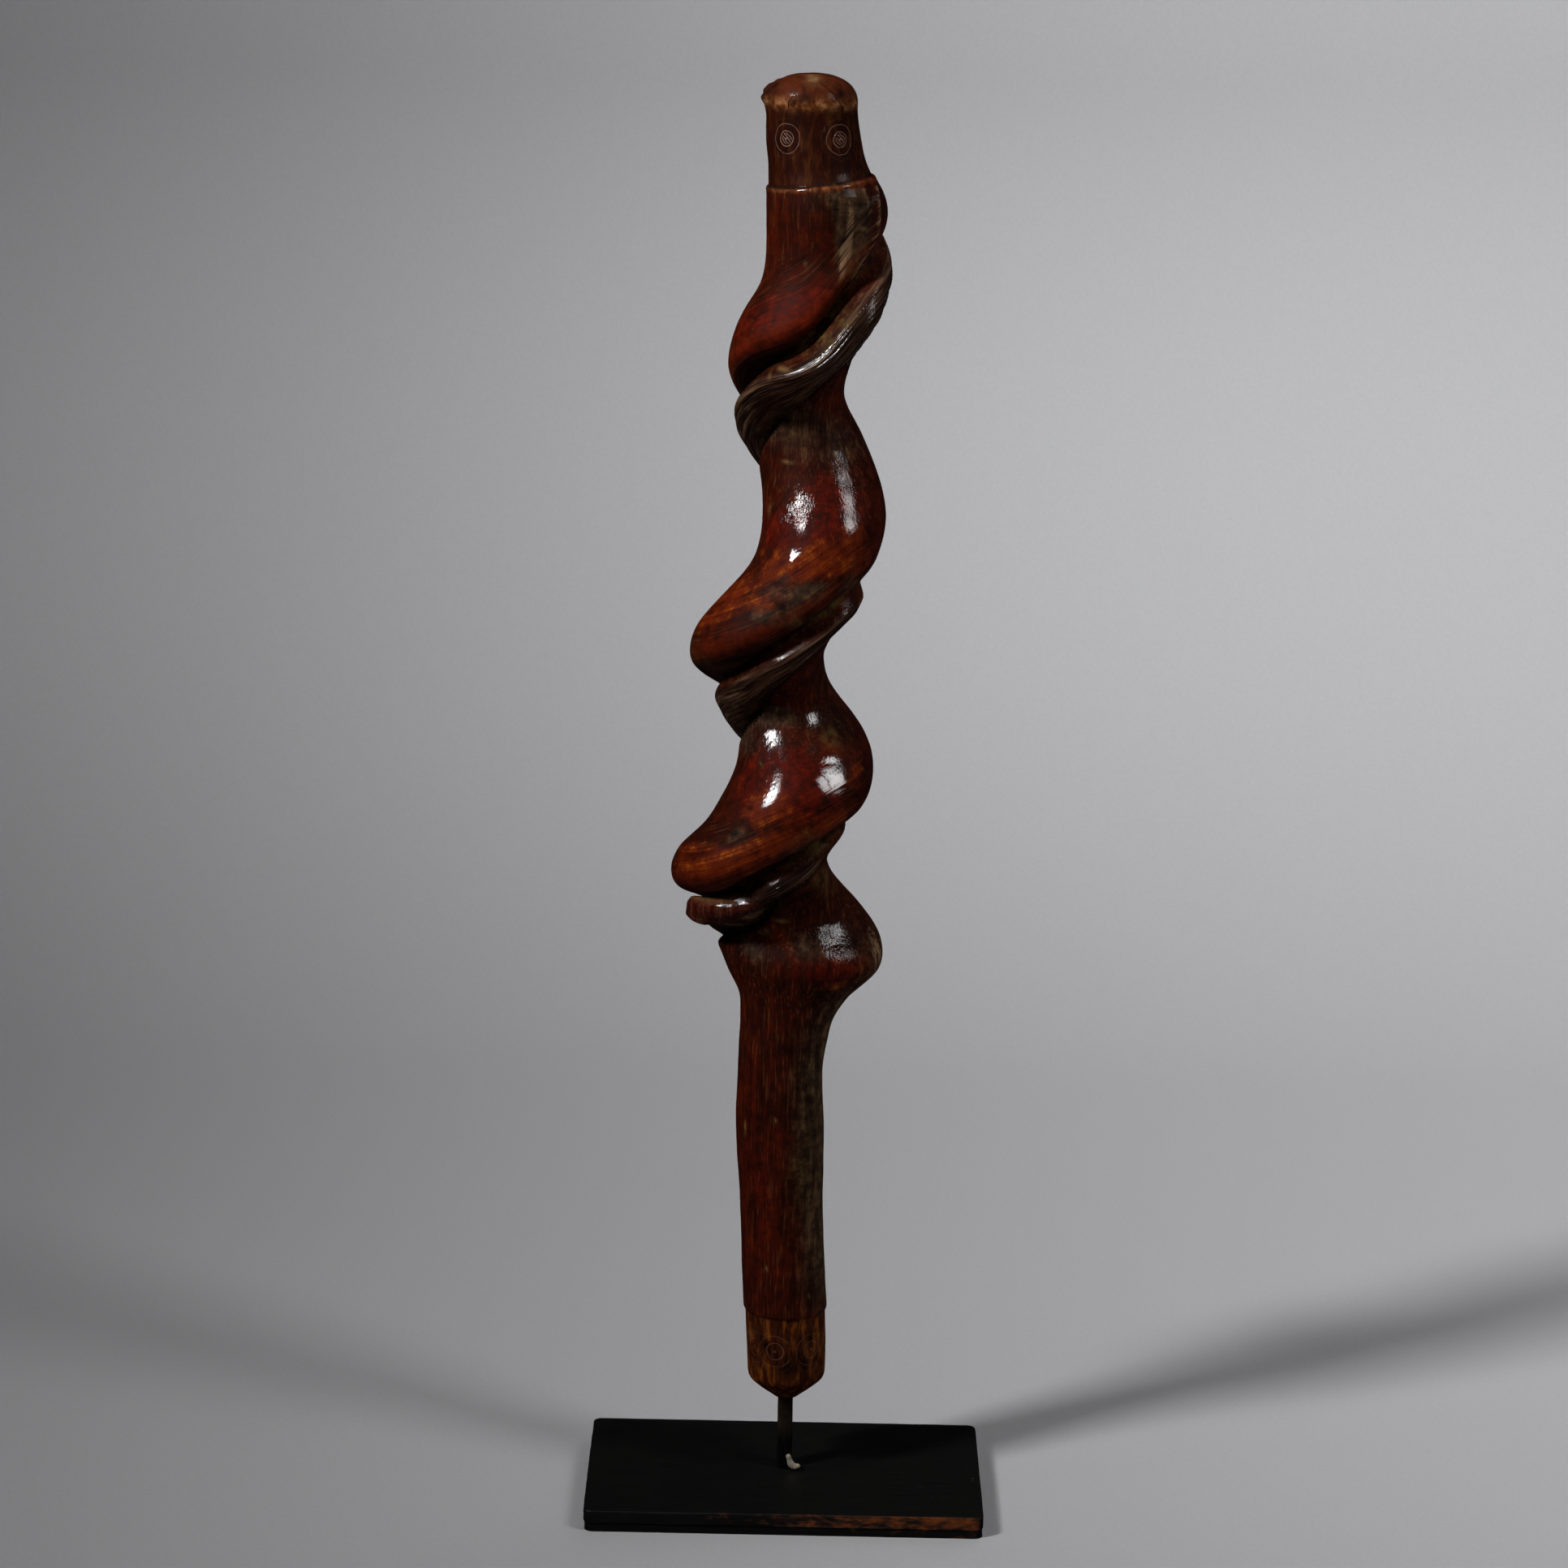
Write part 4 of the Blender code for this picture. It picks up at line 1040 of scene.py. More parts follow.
# Wash, how strong, its colour, the grain that makes its edge ragged, the pattern that breaks it up
for name, most, tint, edge_grain, texture in (
    ("fire", 0.9, stains["fire"], grain_mix, 1.0), ("under", 0.9, stains["under"], grain_mix, 1.0),
    ("vine", 1.0, stains["vine"], grain_mix, 1.0), ("dusk", 0.9, stains["dusk"], grain_mix, 1.0),
    ("amber", 1.1, stains["worn"], flecks, patchy_streaks), ("tan_and_edge_highlight", 0.9, TAN_AND_HIGHLIGHT, grain_mix, brushed),
    # bead: the pale line on the front of the collar's bead is a painted highlight.
    ("lip", 0.5, RUSSET, flecks, patchy), ("bead", 0.5, stains["edge"], None, patchy),
    ("head", 1.0, stains["head"], None, 1.0), ("foot", 1.0, stains["foot"], None, 1.0),
    # rim: worn gold round the dome's rim, partly a painted highlight.
    ("crown", 0.8, CROWN_RED, flecks, patchy), ("rim", 0.85, stains["edge"], None, patchy),
):
    wash = note[name]
    if edge_grain:
        wash = add(tree, "Math", 0, {0: edge_grain, 1: RAGGED, 2: wash}, operation="MULTIPLY_ADD")
        wash = add(tree, "MapRange", 0, {0: wash, 1: WASH_STARTS, 2: WASH_IS_FULL})
    amount = add(tree, "Math", 0, {0: wash, 1: texture}, operation="MULTIPLY")
    amount = add(tree, "Math", 0, {0: amount, 1: most}, operation="MULTIPLY", use_clamp=True)
    colour = add(tree, "Mix", 2, {0: amount, 6: colour, 7: tint}, data_type="RGBA")
print("with the washes the wood has", len(tree.nodes), "nodes")

# %% Wood: olive crusts, dirt and painted shade in the crease and hollows, and bare spots
OLIVE = linear("#5a4824")
NEAR_BLACK = linear("#0a0504")
BARE_WOOD = linear("#7e603c")

olive_at = add(tree, "Math", 0, {0: note["crease"], 1: 0.55}, operation="MULTIPLY")
olive_at = add(tree, "Math", 0, {0: olive_at, 1: note["olive"]}, operation="ADD")
crust = add(tree, "MapRange", 0, {0: flecks, 1: 0.44, 2: 0.58, 3: 0.08, 4: 0.85})
olive_at = add(tree, "Math", 0, {0: olive_at, 1: crust}, operation="MULTIPLY", use_clamp=True)
colour = add(tree, "Mix", 2, {0: olive_at, 6: colour, 7: OLIVE}, data_type="RGBA")

# Darker towards near black in hollows, deep in the crease and on dark spots: partly dirt, partly painted
# shade.
dirt_and_shade = add(tree, "MapRange", 0, {0: note["hollow"], 1: 0.15, 2: 1.1})
deep = add(tree, "MapRange", 0, {0: note["crease"], 1: 0.45, 2: 1.0, 3: 0.0, 4: 0.9})
for more in (note["dark"], deep):
    dirt_and_shade = add(tree, "Math", 0, {0: dirt_and_shade, 1: more}, operation="MAXIMUM")
dirt_and_shade_texture = add(tree, "MapRange", 0, {0: flecks, 1: 0.3, 2: 0.6, 3: 1.0, 4: 0.7})
dirt_and_shade = add(tree, "Math", 0, {0: dirt_and_shade, 1: dirt_and_shade_texture}, operation="MULTIPLY", use_clamp=True)
crusted = add(tree, "MapRange", 0, {0: olive_at, 1: 0.1, 2: 0.6, 3: 1.0, 4: 0.2})
dirt_and_shade = add(tree, "Math", 0, {0: dirt_and_shade, 1: crusted}, operation="MULTIPLY")
colour = add(tree, "Mix", 2, {0: dirt_and_shade, 6: colour, 7: NEAR_BLACK}, data_type="RGBA")
bare_at = add(tree, "Math", 0, {0: note["bare"], 1: patchy}, operation="MULTIPLY")
colour = add(tree, "Mix", 2, {0: bare_at, 6: colour, 7: BARE_WOOD}, data_type="RGBA")
print("dirt and crusts bring it to", len(tree.nodes), "nodes")

# %% Wood: scratched circles, in radii of each mark's outer circle
SCRATCH = linear("#a07c6c")
LINE_WIDTH = 0.034         # about 0.13 mm
LINE_CORE, LINE_FADE = 0.5 * LINE_WIDTH, 1.3 * LINE_WIDTH
SHAKE = 0.10               # how far the hand strayed
HATCH_CORE, HATCH_EDGE = 0.7 * MARK_INNER, 0.85 * MARK_INNER
DOT_CORE, DOT_EDGE = 0.05, 0.09
HEAD_STRENGTH, FOOT_STRENGTH = 0.68, 0.22

mark_x, mark_y, mark_kind = (add(tree, "SeparateXYZ", i, {0: mark_at}) for i in range(3))
mark_flat = add(tree, "CombineXYZ", 0, {0: mark_x, 1: mark_y})
mark_far = add(tree, "VectorMath", "Value", {0: mark_flat}, operation="LENGTH")
shaky = add(tree, "TexNoise", 0, {"Vector": mark_at, "Scale": 1.6, "Detail": 3.0})
shaky = add(tree, "MapRange", 0, {0: shaky, 3: -SHAKE, 4: SHAKE})
mark_far = add(tree, "Math", 0, {0: mark_far, 1: shaky}, operation="ADD")
lines = []
for radius, strong in ((1.0, 0.5), (MARK_INNER, 1.0)):
    off = add(tree, "Math", 0, {0: mark_far, 1: radius}, operation="SUBTRACT")
    off = add(tree, "Math", 0, {0: off}, operation="ABSOLUTE")
    lines.append(add(tree, "MapRange", 0, {0: off, 1: LINE_CORE, 2: LINE_FADE, 3: strong, 4: 0.0}))
hatch = add(tree, "TexWave", "Fac", {
    "Vector": mark_flat, "Scale": 2.4, "Distortion": 5.0, "Detail": 2.0}, bands_direction="DIAGONAL")
hatch = add(tree, "MapRange", 0, {0: hatch, 1: 0.62, 2: 0.75})
inside = add(tree, "MapRange", 0, {0: mark_far, 1: HATCH_CORE, 2: HATCH_EDGE, 3: 1.0, 4: 0.0})
on_head = add(tree, "Math", 0, {0: 1.0, 1: mark_kind}, operation="SUBTRACT")
for where in (inside, on_head):
    hatch = add(tree, "Math", 0, {0: hatch, 1: where}, operation="MULTIPLY")
dot = add(tree, "MapRange", 0, {0: mark_far, 1: DOT_CORE, 2: DOT_EDGE, 3: 1.0, 4: 0.0})
scratched = lines[0]
for cut in (lines[1], hatch, dot):
    scratched = add(tree, "Math", 0, {0: scratched, 1: cut}, operation="MAXIMUM")
scratched = add(tree, "Math", 0, {0: scratched, 1: note["marked"]}, operation="MULTIPLY")
strength = add(tree, "MapRange", 0, {0: mark_kind, 3: HEAD_STRENGTH, 4: FOOT_STRENGTH})
worn = add(tree, "MapRange", 0, {0: flecks, 1: 0.30, 2: 0.50, 3: 0.45, 4: 1.0})
scratch_amount = scratched
for share in (strength, worn):
    scratch_amount = add(tree, "Math", 0, {0: scratch_amount, 1: share}, operation="MULTIPLY")
colour = add(tree, "Mix", 2, {0: scratch_amount, 6: colour, 7: SCRATCH}, data_type="RGBA")
print("the outer circle, the inner one, the hatch and the dot are drawn at", len(tree.nodes), "nodes")

# %% Wood: specks, fine scratches and hairline cracks
SPECK_SPACING = 4.5 * MM
SPECK_RADIUS = 0.16 * MM / SPECK_SPACING      # as a share of the spacing, as the texture measures it
SCRATCH_SPACING = 2.5 * MM
CRACK_CORE, CRACK_EDGE = 0.05, 0.14           # mm from the crack's middle

speck_far = add(tree, "TexVoronoi", "Distance", {"Vector": place, "Scale": per_metre(SPECK_SPACING)})
specks = add(tree, "MapRange", 0, {
    0: speck_far, 1: 0.7 * SPECK_RADIUS, 2: 1.3 * SPECK_RADIUS, 3: 0.7, 4: 0.0})
slanted = add(tree, "Mapping", 0, {0: place, 2: (0.5, 0.7, 0.0), 3: (1.0, 1.0, 0.10)})
scratch_far = add(tree, "TexVoronoi", "Distance", {"Vector": slanted, "Scale": per_metre(SCRATCH_SPACING)})
scratches = add(tree, "MapRange", 0, {0: scratch_far, 1: 0.03, 2: 0.06, 3: 0.55, 4: 0.0})
fine_marks = add(tree, "Math", 0, {0: specks, 1: scratches}, operation="MAXIMUM")
here_and_there = add(tree, "MapRange", 0, {0: blotches, 1: 0.46, 2: 0.56})
fine_marks = add(tree, "Math", 0, {0: fine_marks, 1: here_and_there}, operation="MULTIPLY")
colour = add(tree, "Mix", 2, {0: fine_marks, 6: colour, 7: BARE_WOOD}, data_type="RGBA")

crack = add(tree, "Math", 0, {0: note["crack_side"]}, operation="ABSOLUTE")
crack = add(tree, "MapRange", 0, {0: crack, 1: CRACK_CORE, 2: CRACK_EDGE, 3: 1.0, 4: 0.0})
crack = add(tree, "Math", 0, {0: crack, 1: note["cracked"]}, operation="MULTIPLY")
colour = add(tree, "Mix", 2, {0: crack, 6: colour, 7: NEAR_BLACK}, data_type="RGBA")
print("specks lie about", SPECK_SPACING / MM, "mm apart where there are any")

# %% Wood: gloss where it was polished, and the bumps that break it up
dull = olive_at
for matt in (dirt_and_shade, note["bare"]):
    dull = add(tree, "Math", 0, {0: dull, 1: matt}, operation="MAXIMUM")
gloss = add(tree, "MapRange", 0, {0: grain_mix, 1: 0.35, 2: 0.65, 3: 0.52, 4: 0.68})
roughness = add(tree, "Mix", 0, {0: dull, 2: gloss, 3: 0.80})
kept = add(tree, "MapRange", 0, {0: dull, 3: 1.0, 4: 0.25})
wax_film = add(tree, "Math", 0, {0: note["polished"], 1: kept}, operation="MULTIPLY", use_clamp=True)

raised = add(tree, "Math", 0, {0: note["scraped"], 1: note["vine"]}, operation="MAXIMUM")
raised = add(tree, "Math", 0, {0: raised, 1: grain_mix}, operation="MULTIPLY")
strings = add(tree, "Math", 0, {0: along_strand["streaks"], 1: note["vine"]}, operation="MULTIPLY")
cuts = add(tree, "Math", 0, {0: scratched, 1: crack}, operation="MAXIMUM")
bump = {}
for height, depth in (      # what stands out, and how far in mm
    (fibres, 0.035), (streaks, 0.10), (flecks, 0.06), (raised, 0.35), (strings, 1.7), (cuts, -0.12),
):
    bump["Normal"] = add(tree, "Bump", 0, {"Strength": 1.0, "Distance": depth * MM, "Height": height, **bump})
finish_with(staff, wood, Base_Color=colour, Roughness=roughness, Coat_Weight=wax_film,
            Normal=bump["Normal"], Coat_Normal=bump["Normal"])

# %% [markdown]
# ## The stand: a sheared plate and a square rod
# The plate was cut from flat bar with a shear, so its edge has a smooth burnished band above and a torn band
# that steps back below, with a small burr left at one corner. A cube is added at the plate's size, its
# upright edges are bevelled, and bisecting it in both directions gives points that can be moved off true a
# little.

# %% Plate
PLATE_CORNER = 2.2 * MM
SHEAR_LINE = 2.4 * MM
SHEAR_STEP = 0.25 * MM
TOP_EDGE = 0.35 * MM
CUT_SPACING = 3.0 * MM
EDGE_WAVES = ((6 * MM, 0.10 * MM), (1.5 * MM, 0.05 * MM))     # length and height of the sheared edge's waves
BURR_SIZE = 1.6 * MM


def cube_at(name, low, high):
    """A cube primitive that fills the box between two corners."""
    start_clean()
    bpy.ops.mesh.primitive_cube_add(size=1, location=(low + high) / 2, scale=high - low)
    bpy.ops.object.transform_apply(location=True, rotation=True, scale=True)
    bpy.context.object.name = name
    return bpy.context.object


def select_edges(piece, wanted):
    """In edit mode, selects the edges whose two end points pass `wanted`."""
    bpy.ops.mesh.select_mode(type="EDGE")
    bpy.ops.mesh.select_all(action="DESELECT")
    bpy.ops.object.mode_set(mode="OBJECT")
    spots = piece.data.vertices
    for edge in piece.data.edges:
        edge.select = wanted(*(spots[i].co for i in edge.vertices))
    bpy.ops.object.mode_set(mode="EDIT")


def cut_across(low, high, spacing, axis):
    """Bisects everything with evenly spaced planes across one axis, which adds points to move."""
    normal = [float(i == axis) for i in range(3)]
    for place in np.arange(low[axis] + spacing, high[axis] - spacing / 2, spacing):
        bpy.ops.mesh.select_all(action="SELECT")
        bpy.ops.mesh.bisect(plane_co=[n * place for n in normal], plane_no=normal)


def smooth_up_to(piece, degrees):
    """Shades a piece smooth, apart from edges sharper than this."""
    pick(piece)
    bpy.ops.object.shade_smooth_by_angle(angle=math.radians(degrees))
    print(piece.name + ":", len(piece.data.polygons), "faces")


plate_low, plate_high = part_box("stand_plate")
plate = cube_at("sheared_plate", plate_low, plate_high)
bpy.ops.object.mode_set(mode="EDIT")
select_edges(plate, lambda a, b: abs(a.z - b.z) > MM)
bpy.ops.mesh.bevel(offset=PLATE_CORNER, segments=6, affect="EDGES")
for height in (SHEAR_LINE, SHEAR_LINE - SHEAR_STEP):
    bpy.ops.mesh.select_all(action="SELECT")
    bpy.ops.mesh.bisect(plane_co=(0, 0, height), plane_no=(0, 0, 1))
select_edges(plate, lambda a, b: max(a.z, b.z) < SHEAR_LINE - SHEAR_STEP / 2)
shrink = [1 - SHEAR_STEP / high for high in plate_high[:2]]
bpy.ops.transform.resize(value=(*shrink, 1), center_override=(0, 0, 0))
select_edges(plate, lambda a, b: min(a.z, b.z) > plate_high.z - 0.01 * MM)
bpy.ops.mesh.bevel(offset=TOP_EDGE, segments=3, affect="EDGES")
cut_across(plate_low, plate_high, CUT_SPACING, 0)
cut_across(plate_low, plate_high, CUT_SPACING, 1)
bpy.ops.object.mode_set(mode="OBJECT")
BURR = Vector((plate_high.x - 1.0 * MM, plate_low.y + 0.8 * MM, 0.8 * MM))
for vertex in plate.data.vertices:
    spot = vertex.co.copy()
    sizes = list(zip(spot.xy, plate_high.xy))
    if min(abs(abs(at) - reach) for at, reach in sizes) < 0.5 * MM:
        outwards = Vector([math.copysign(abs(at) > reach - MM, at) for at, reach in sizes])
        vertex.co.xy += outwards * sum(noise.noise(spot / length) * height for length, height in EDGE_WAVES)
    elif spot.z > plate_high.z - 0.2 * MM:
        vertex.co.z += noise.noise(spot / (18 * MM)) * 0.05 * MM
    if (spot - BURR).length < BURR_SIZE:
        vertex.co.x += 0.35 * MM * abs(noise.noise(spot / (0.7 * MM)))
smooth_up_to(plate, 35)

# %% Rod
ROD_EDGE = 0.55 * MM
ROD_OFF_TRUE = 0.07 * MM
rod_low, rod_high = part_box("stand_rod")
rod_low.z = plate_high.z + 0.02 * MM
rod = cube_at("square_rod", rod_low, rod_high)
bpy.ops.object.mode_set(mode="EDIT")
select_edges(rod, lambda a, b: abs(a.z - b.z) > MM)
bpy.ops.mesh.bevel(offset=ROD_EDGE, segments=3, affect="EDGES")
cut_across(rod_low, rod_high, 1.2 * MM, 2)
bpy.ops.object.mode_set(mode="OBJECT")
noise.seed_set(1)          # without a seed this kind of noise differs on every run
for vertex in rod.data.vertices:
    off_true = noise.noise_vector(vertex.co / (4 * MM)) * ROD_OFF_TRUE
    vertex.co.xy += off_true.xy
smooth_up_to(rod, 35)

# %% [markdown]
# ## The drop of wax at the rod's foot
# A little wax or glue has run down the rod's corner and set with a hook at its end. It is the same idea as
# the stub: a ball whose rings are laid along a route.

# %% Wax
WAX_ROUTE = (
    (0.0009, -0.0023, 0.0099), (0.0013, -0.0023, 0.0087), (0.0018, -0.0023, 0.0074),
    (0.0026, -0.0024, 0.0068), (0.0034, -0.0025, 0.0069), (0.0039, -0.0024, 0.0073),
)
WAX_RADIUS = 0.80 * MM
WAX_BEADS = 0.22           # how much thicker or thinner it gets along its length
WAX_BLUNTNESS = 0.5
WAX_RIPPLE = 0.08 * MM

wax, share, turn = ball("set_wax", 24, 48)
middle = along_route(WAX_ROUTE, share)
side, above = across(lambda at: along_route(WAX_ROUTE, at), share, (0, 1, 0))
blunt = np.clip(1 - (2 * share - 1) ** 2, 0, 1) ** (WAX_BLUNTNESS / 2)
size = WAX_RADIUS * blunt * (1 + WAX_BEADS * unevenness(middle, 1.3 * MM, 1.0))
wax_at = middle + (size * np.cos(turn))[:, None] * side + (size * np.sin(turn))[:, None] * above
wax_at += (WAX_RIPPLE * unevenness(wax_at, 0.6 * MM, 6.0))[:, None] * above
wax_at[:, 2] = np.maximum(wax_at[:, 2], plate_high.z + 0.02 * MM)
move_points(wax, wax_at)
face_outwards()
bpy.ops.object.shade_smooth()
print("wax:", len(wax.data.vertices), "points")

# %% [markdown]
# ## Steel and wax
# The plate is mild steel under a thin flat black paint, brushed on from end to end; where it was sheared the
# paint is thin and orange rust has crept in from the right. The rod is the same steel, browned above and
# black below. Paint and rust don't reflect as metal does, so only the browned rod is partly metallic.

# %% Black painted steel with rust on the cut edge
BRUSH_WIDTH = 0.35 * MM
DUST_SIZE = 0.9 * MM
RUST_SIZE = 1.8 * MM
BLACK_PAINT = linear("#0a0a0a")
PAINT_WORN = linear("#11100e")
RUST_ORANGE = linear("#6a3206")
RUST_BROWN = linear("#1c0b04")
PALE_DUST = linear("#6a6764")

steel, tree = new_material("black_painted_steel", Metallic=0.0, IOR=1.5, Specular_IOR_Level=0.25)
place = add(tree, "TexCoord", "Object", {})
brushed = add(tree, "Mapping", 0, {0: place, 3: (0.03, 1, 1)})
brush = add(tree, "TexNoise", 0, {"Vector": brushed, "Scale": per_metre(BRUSH_WIDTH), "Detail": 3.0})
cloud = add(tree, "TexNoise", 0, {"Vector": place, "Scale": per_metre(18 * MM), "Detail": 4.0})
speck = add(tree, "TexNoise", 0, {"Vector": place, "Scale": per_metre(DUST_SIZE), "Detail": 2.0})
rust_place = add(tree, "Mapping", 0, {0: place, 3: (0.4, 1, 1)})
rust_noise = add(tree, "TexNoise", 0, {
    "Vector": rust_place, "Scale": per_metre(RUST_SIZE), "Detail": 6.0, "Roughness": 0.7})
paint_tone = add(tree, "Mix", 0, {0: 0.5, 2: brush, 3: cloud})
paint_tone = add(tree, "MapRange", 0, {0: paint_tone, 1: 0.35, 2: 0.75})
colour = add(tree, "Mix", 2, {0: paint_tone, 6: BLACK_PAINT, 7: PAINT_WORN}, data_type="RGBA")
dusty = add(tree, "MapRange", 0, {0: speck, 1: 0.74, 2: 0.80, 3: 0.0, 4: 0.6})
colour = add(tree, "Mix", 2, {0: dusty, 6: colour, 7: PALE_DUST}, data_type="RGBA")

# Rust keeps to the front edge, grows to the right and is strongest above the shear line
x_at, y_at, z_at = (add(tree, "SeparateXYZ", i, {0: place}) for i in range(3))
front = add(tree, "MapRange", 0, {0: y_at, 1: plate_low.y + 0.6 * MM, 2: plate_low.y + 0.2 * MM})
rightwards = add(tree, "MapRange", 0, {0: x_at, 1: -25 * MM, 2: 44 * MM, 3: 0.08, 4: 0.52})
high_band = add(tree, "MapRange", 0, {
    0: z_at, 1: SHEAR_LINE - 0.4 * MM, 2: SHEAR_LINE + 0.2 * MM, 3: 0.35, 4: 1.0})
rust_level = add(tree, "Math", 0, {0: rightwards, 1: high_band}, operation="MULTIPLY")
rust_edge = add(tree, "Math", 0, {0: rust_noise, 1: rust_level}, operation="ADD")
rusty = add(tree, "MapRange", 0, {0: rust_edge, 1: 0.70, 2: 0.95})
rusty = add(tree, "Math", 0, {0: rusty, 1: front}, operation="MULTIPLY")
rust_tone = add(tree, "MapRange", 0, {0: rust_noise, 1: 0.42, 2: 0.62})
rust_colour = add(tree, "Mix", 2, {0: rust_tone, 6: RUST_BROWN, 7: RUST_ORANGE}, data_type="RGBA")
colour = add(tree, "Mix", 2, {0: rusty, 6: colour, 7: rust_colour}, data_type="RGBA")
sheen = add(tree, "MapRange", 0, {0: brush, 1: 0.3, 2: 0.7, 3: 0.42, 4: 0.60})
roughness = add(tree, "Mix", 0, {0: rusty, 2: sheen, 3: 0.85})
bump = add(tree, "Bump", 0, {"Distance": 0.03 * MM, "Height": brush})
bump = add(tree, "Bump", 0, {"Distance": 0.10 * MM, "Height": rust_noise, "Strength": 0.6, "Normal": bump})
finish_with(plate, steel, Base_Color=colour, Roughness=roughness, Normal=bump)

# %% Browned steel of the rod: drawn lines run along it, and the brown ends raggedly above the plate
BROWNED = linear("#423427")
LINE_SPACING = 0.4 * MM
BROWN_FROM, BROWN_FULL = 13 * MM, 19 * MM

rod_steel, tree = new_material("browned_steel", Metallic=0.55, IOR=1.5)
place = add(tree, "TexCoord", "Object", {})
drawn = add(tree, "Mapping", 0, {0: place, 3: (1, 1, 0.12)})
drawn = add(tree, "TexNoise", 0, {"Vector": drawn, "Scale": per_metre(LINE_SPACING), "Detail": 4.0})
cloud = add(tree, "TexNoise", 0, {"Vector": place, "Scale": per_metre(3 * MM), "Detail": 4.0})
z_at = add(tree, "SeparateXYZ", 2, {0: place})
brown = add(tree, "MapRange", 0, {0: z_at, 1: BROWN_FROM, 2: BROWN_FULL})
ragged = add(tree, "MapRange", 0, {0: cloud, 1: 0.35, 2: 0.65, 3: 0.3, 4: 1.0})
brown = add(tree, "Math", 0, {0: brown, 1: ragged}, operation="MULTIPLY")
colour = add(tree, "Mix", 2, {0: brown, 6: BLACK_PAINT, 7: BROWNED}, data_type="RGBA")
roughness = add(tree, "MapRange", 0, {0: drawn, 1: 0.3, 2: 0.7, 3: 0.30, 4: 0.55})
bump = add(tree, "Bump", 0, {"Distance": 0.05 * MM, "Height": drawn})
finish_with(rod, rod_steel, Base_Color=colour, Roughness=roughness, Normal=bump)

# %% Grey wax that lets a little light in
WAX_SHADE = linear("#6f695c")
WAX_PALE = linear("#bcb5a3")
wax_look, tree = new_material(
    "grey_wax", Roughness=0.42, IOR=1.44, Subsurface_Weight=0.45, Subsurface_Scale=1.2 * MM)
place = add(tree, "TexCoord", "Object", {})
cloud = add(tree, "TexNoise", 0, {"Vector": place, "Scale": per_metre(0.8 * MM), "Detail": 3.0})
colour = add(tree, "Mix", 2, {0: cloud, 6: WAX_SHADE, 7: WAX_PALE}, data_type="RGBA")
bump = add(tree, "Bump", 0, {"Distance": 0.06 * MM, "Height": cloud})
finish_with(wax, wax_look, Base_Color=colour, Normal=bump)

# %% [markdown]
# ## Studio
# One sheet of pale paper lies under the stand and curves up behind it, so that no edge shows. Two softboxes
# stand in front, one to each side and rather high. The left one is far off and its beam narrow, so it throws
# the staff's clear shadow to the right and leaves the far left dim. The right one is nearer and broader in
# its beam, so it makes the windows of light on the bulges. A third light, on the far right, brightens the
# paper behind. Their directions were worked out from the shadows and from the reflections.

# %% Paper that curves up behind the stand
PAPER_HALF_WIDTH = 6.0
PAPER_FRONT = -6.0
CURVE_START = 0.34
CURVE_RADIUS = 0.30
PAPER_TOP = 2.5
PAPER_SHADE = linear("#b9b9bb")
PAPER_PALE = linear("#c4c4c6")

start_clean()
bpy.ops.mesh.primitive_plane_add(size=1, location=(0, (PAPER_FRONT + CURVE_START) / 2, 0))
paper_sheet = bpy.context.object
paper_sheet.name = "paper"
paper_sheet.scale = (2 * PAPER_HALF_WIDTH, CURVE_START - PAPER_FRONT, 1)
bpy.ops.object.transform_apply(location=True, rotation=True, scale=True)
bpy.ops.object.mode_set(mode="EDIT")
select_edges(paper_sheet, lambda a, b: min(a.y, b.y) > CURVE_START - 0.01)
bpy.ops.mesh.spin(steps=48, angle=math.pi / 2, center=(0, CURVE_START, CURVE_RADIUS), axis=(-1, 0, 0))
bpy.ops.mesh.extrude_region_move(TRANSFORM_OT_translate={"value": (0, 0, PAPER_TOP - CURVE_RADIUS)})
bpy.ops.object.mode_set(mode="OBJECT")
bpy.ops.object.shade_smooth()
print("paper reaches", round(max(v.co.z for v in paper_sheet.data.vertices), 2), "m up behind the stand")

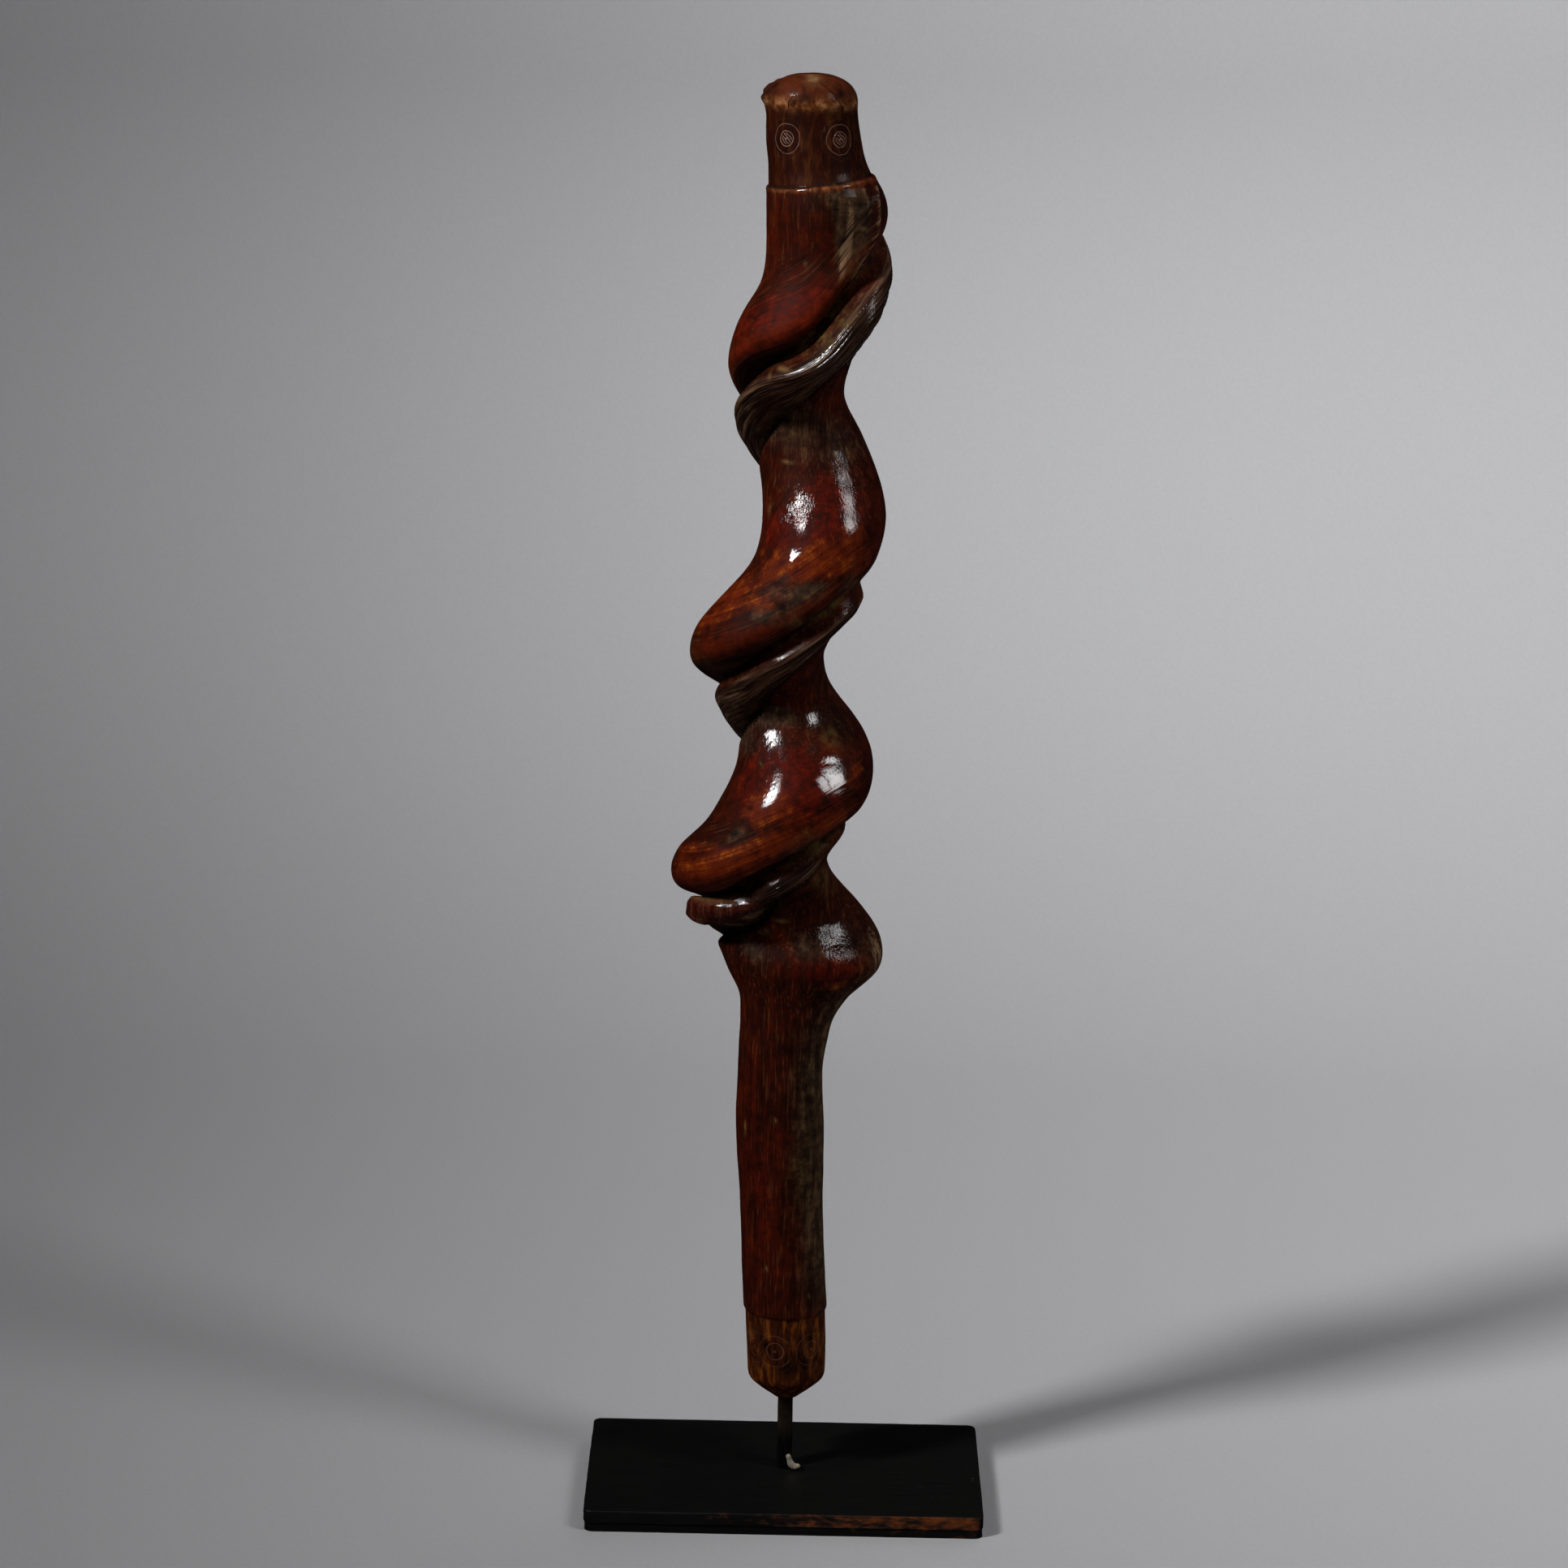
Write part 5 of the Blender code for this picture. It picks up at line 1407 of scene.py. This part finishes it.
# %% Matt paper
# It gives the eye an even pale ground with soft shadows. Its back is clear, so that a camera behind the wall
# sees past it to the staff.
paper, tree = new_material("matt_paper", Roughness=0.9, IOR=1.45)
place = add(tree, "TexCoord", "Object", {})
tooth = add(tree, "TexNoise", 0, {"Vector": place, "Scale": per_metre(1.2 * MM), "Detail": 3.0})
colour = add(tree, "Mix", 2, {0: tooth, 6: PAPER_SHADE, 7: PAPER_PALE}, data_type="RGBA")
behind = add(tree, "NewGeometry", "Backfacing", {})
clear = add(tree, "BsdfTransparent", 0, {})
sheet = tree.nodes["Principled BSDF"].outputs["BSDF"]
seen = add(tree, "MixShader", 0, {0: behind, 1: sheet, 2: clear})
tree.links.new(seen, tree.nodes["Material Output"].inputs["Surface"])
finish_with(paper_sheet, paper, Base_Color=colour)
paper_sheet.visible_glossy = False       # the real studio is dark in front, so the gloss shows no paper


# %% Softboxes and the room's own light
def softbox(name, around, above, distance, width, height, power, spread, aim):
    """An area light, seen from the staff at some degrees round to the right and up, and aimed at a point."""
    turn, lift = math.radians(around), math.radians(above)
    towards = Vector((math.sin(turn) * math.cos(lift), -math.cos(turn) * math.cos(lift), math.sin(lift)))
    spot = Vector((0, 0, 0.20)) + distance * towards
    bpy.ops.object.light_add(type="AREA", location=spot)
    light = bpy.context.object
    light.name = name
    light.rotation_euler = (spot - Vector(aim)).to_track_quat("Z", "Y").to_euler()
    light.data.shape = "RECTANGLE"
    light.data.size = width
    light.data.size_y = height
    light.data.energy = power
    light.data.spread = math.radians(spread)
    return light


softbox("softbox_right", 60, 42, 1.2, 0.24, 0.46, 1.4, 112, (0.24, -0.03, 0.20))
softbox("softbox_left", -56, 44, 2.2, 0.29, 0.62, 3.0, 37, (0.40, 0.19, 0.34))
softbox("backdrop_light", 86, 52, 2.45, 0.5, 0.5, 4.6, 35, (0.27, 0.92, 0.70))
room = bpy.data.worlds.new("room")
room.use_nodes = True
room.node_tree.nodes["Background"].inputs["Color"].default_value = linear("#c4c6cc")
room.node_tree.nodes["Background"].inputs["Strength"].default_value = 0.01
bpy.context.scene.world = room
bpy.context.scene.view_settings.view_transform = "Standard"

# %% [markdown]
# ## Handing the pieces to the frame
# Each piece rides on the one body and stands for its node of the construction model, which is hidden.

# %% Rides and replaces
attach(staff, "root")
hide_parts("staff")
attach(plate, "root")
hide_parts("stand_plate")
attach(rod, "root")
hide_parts("stand_rod")
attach(wax, "root")
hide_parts("wax_bead")
start_clean()
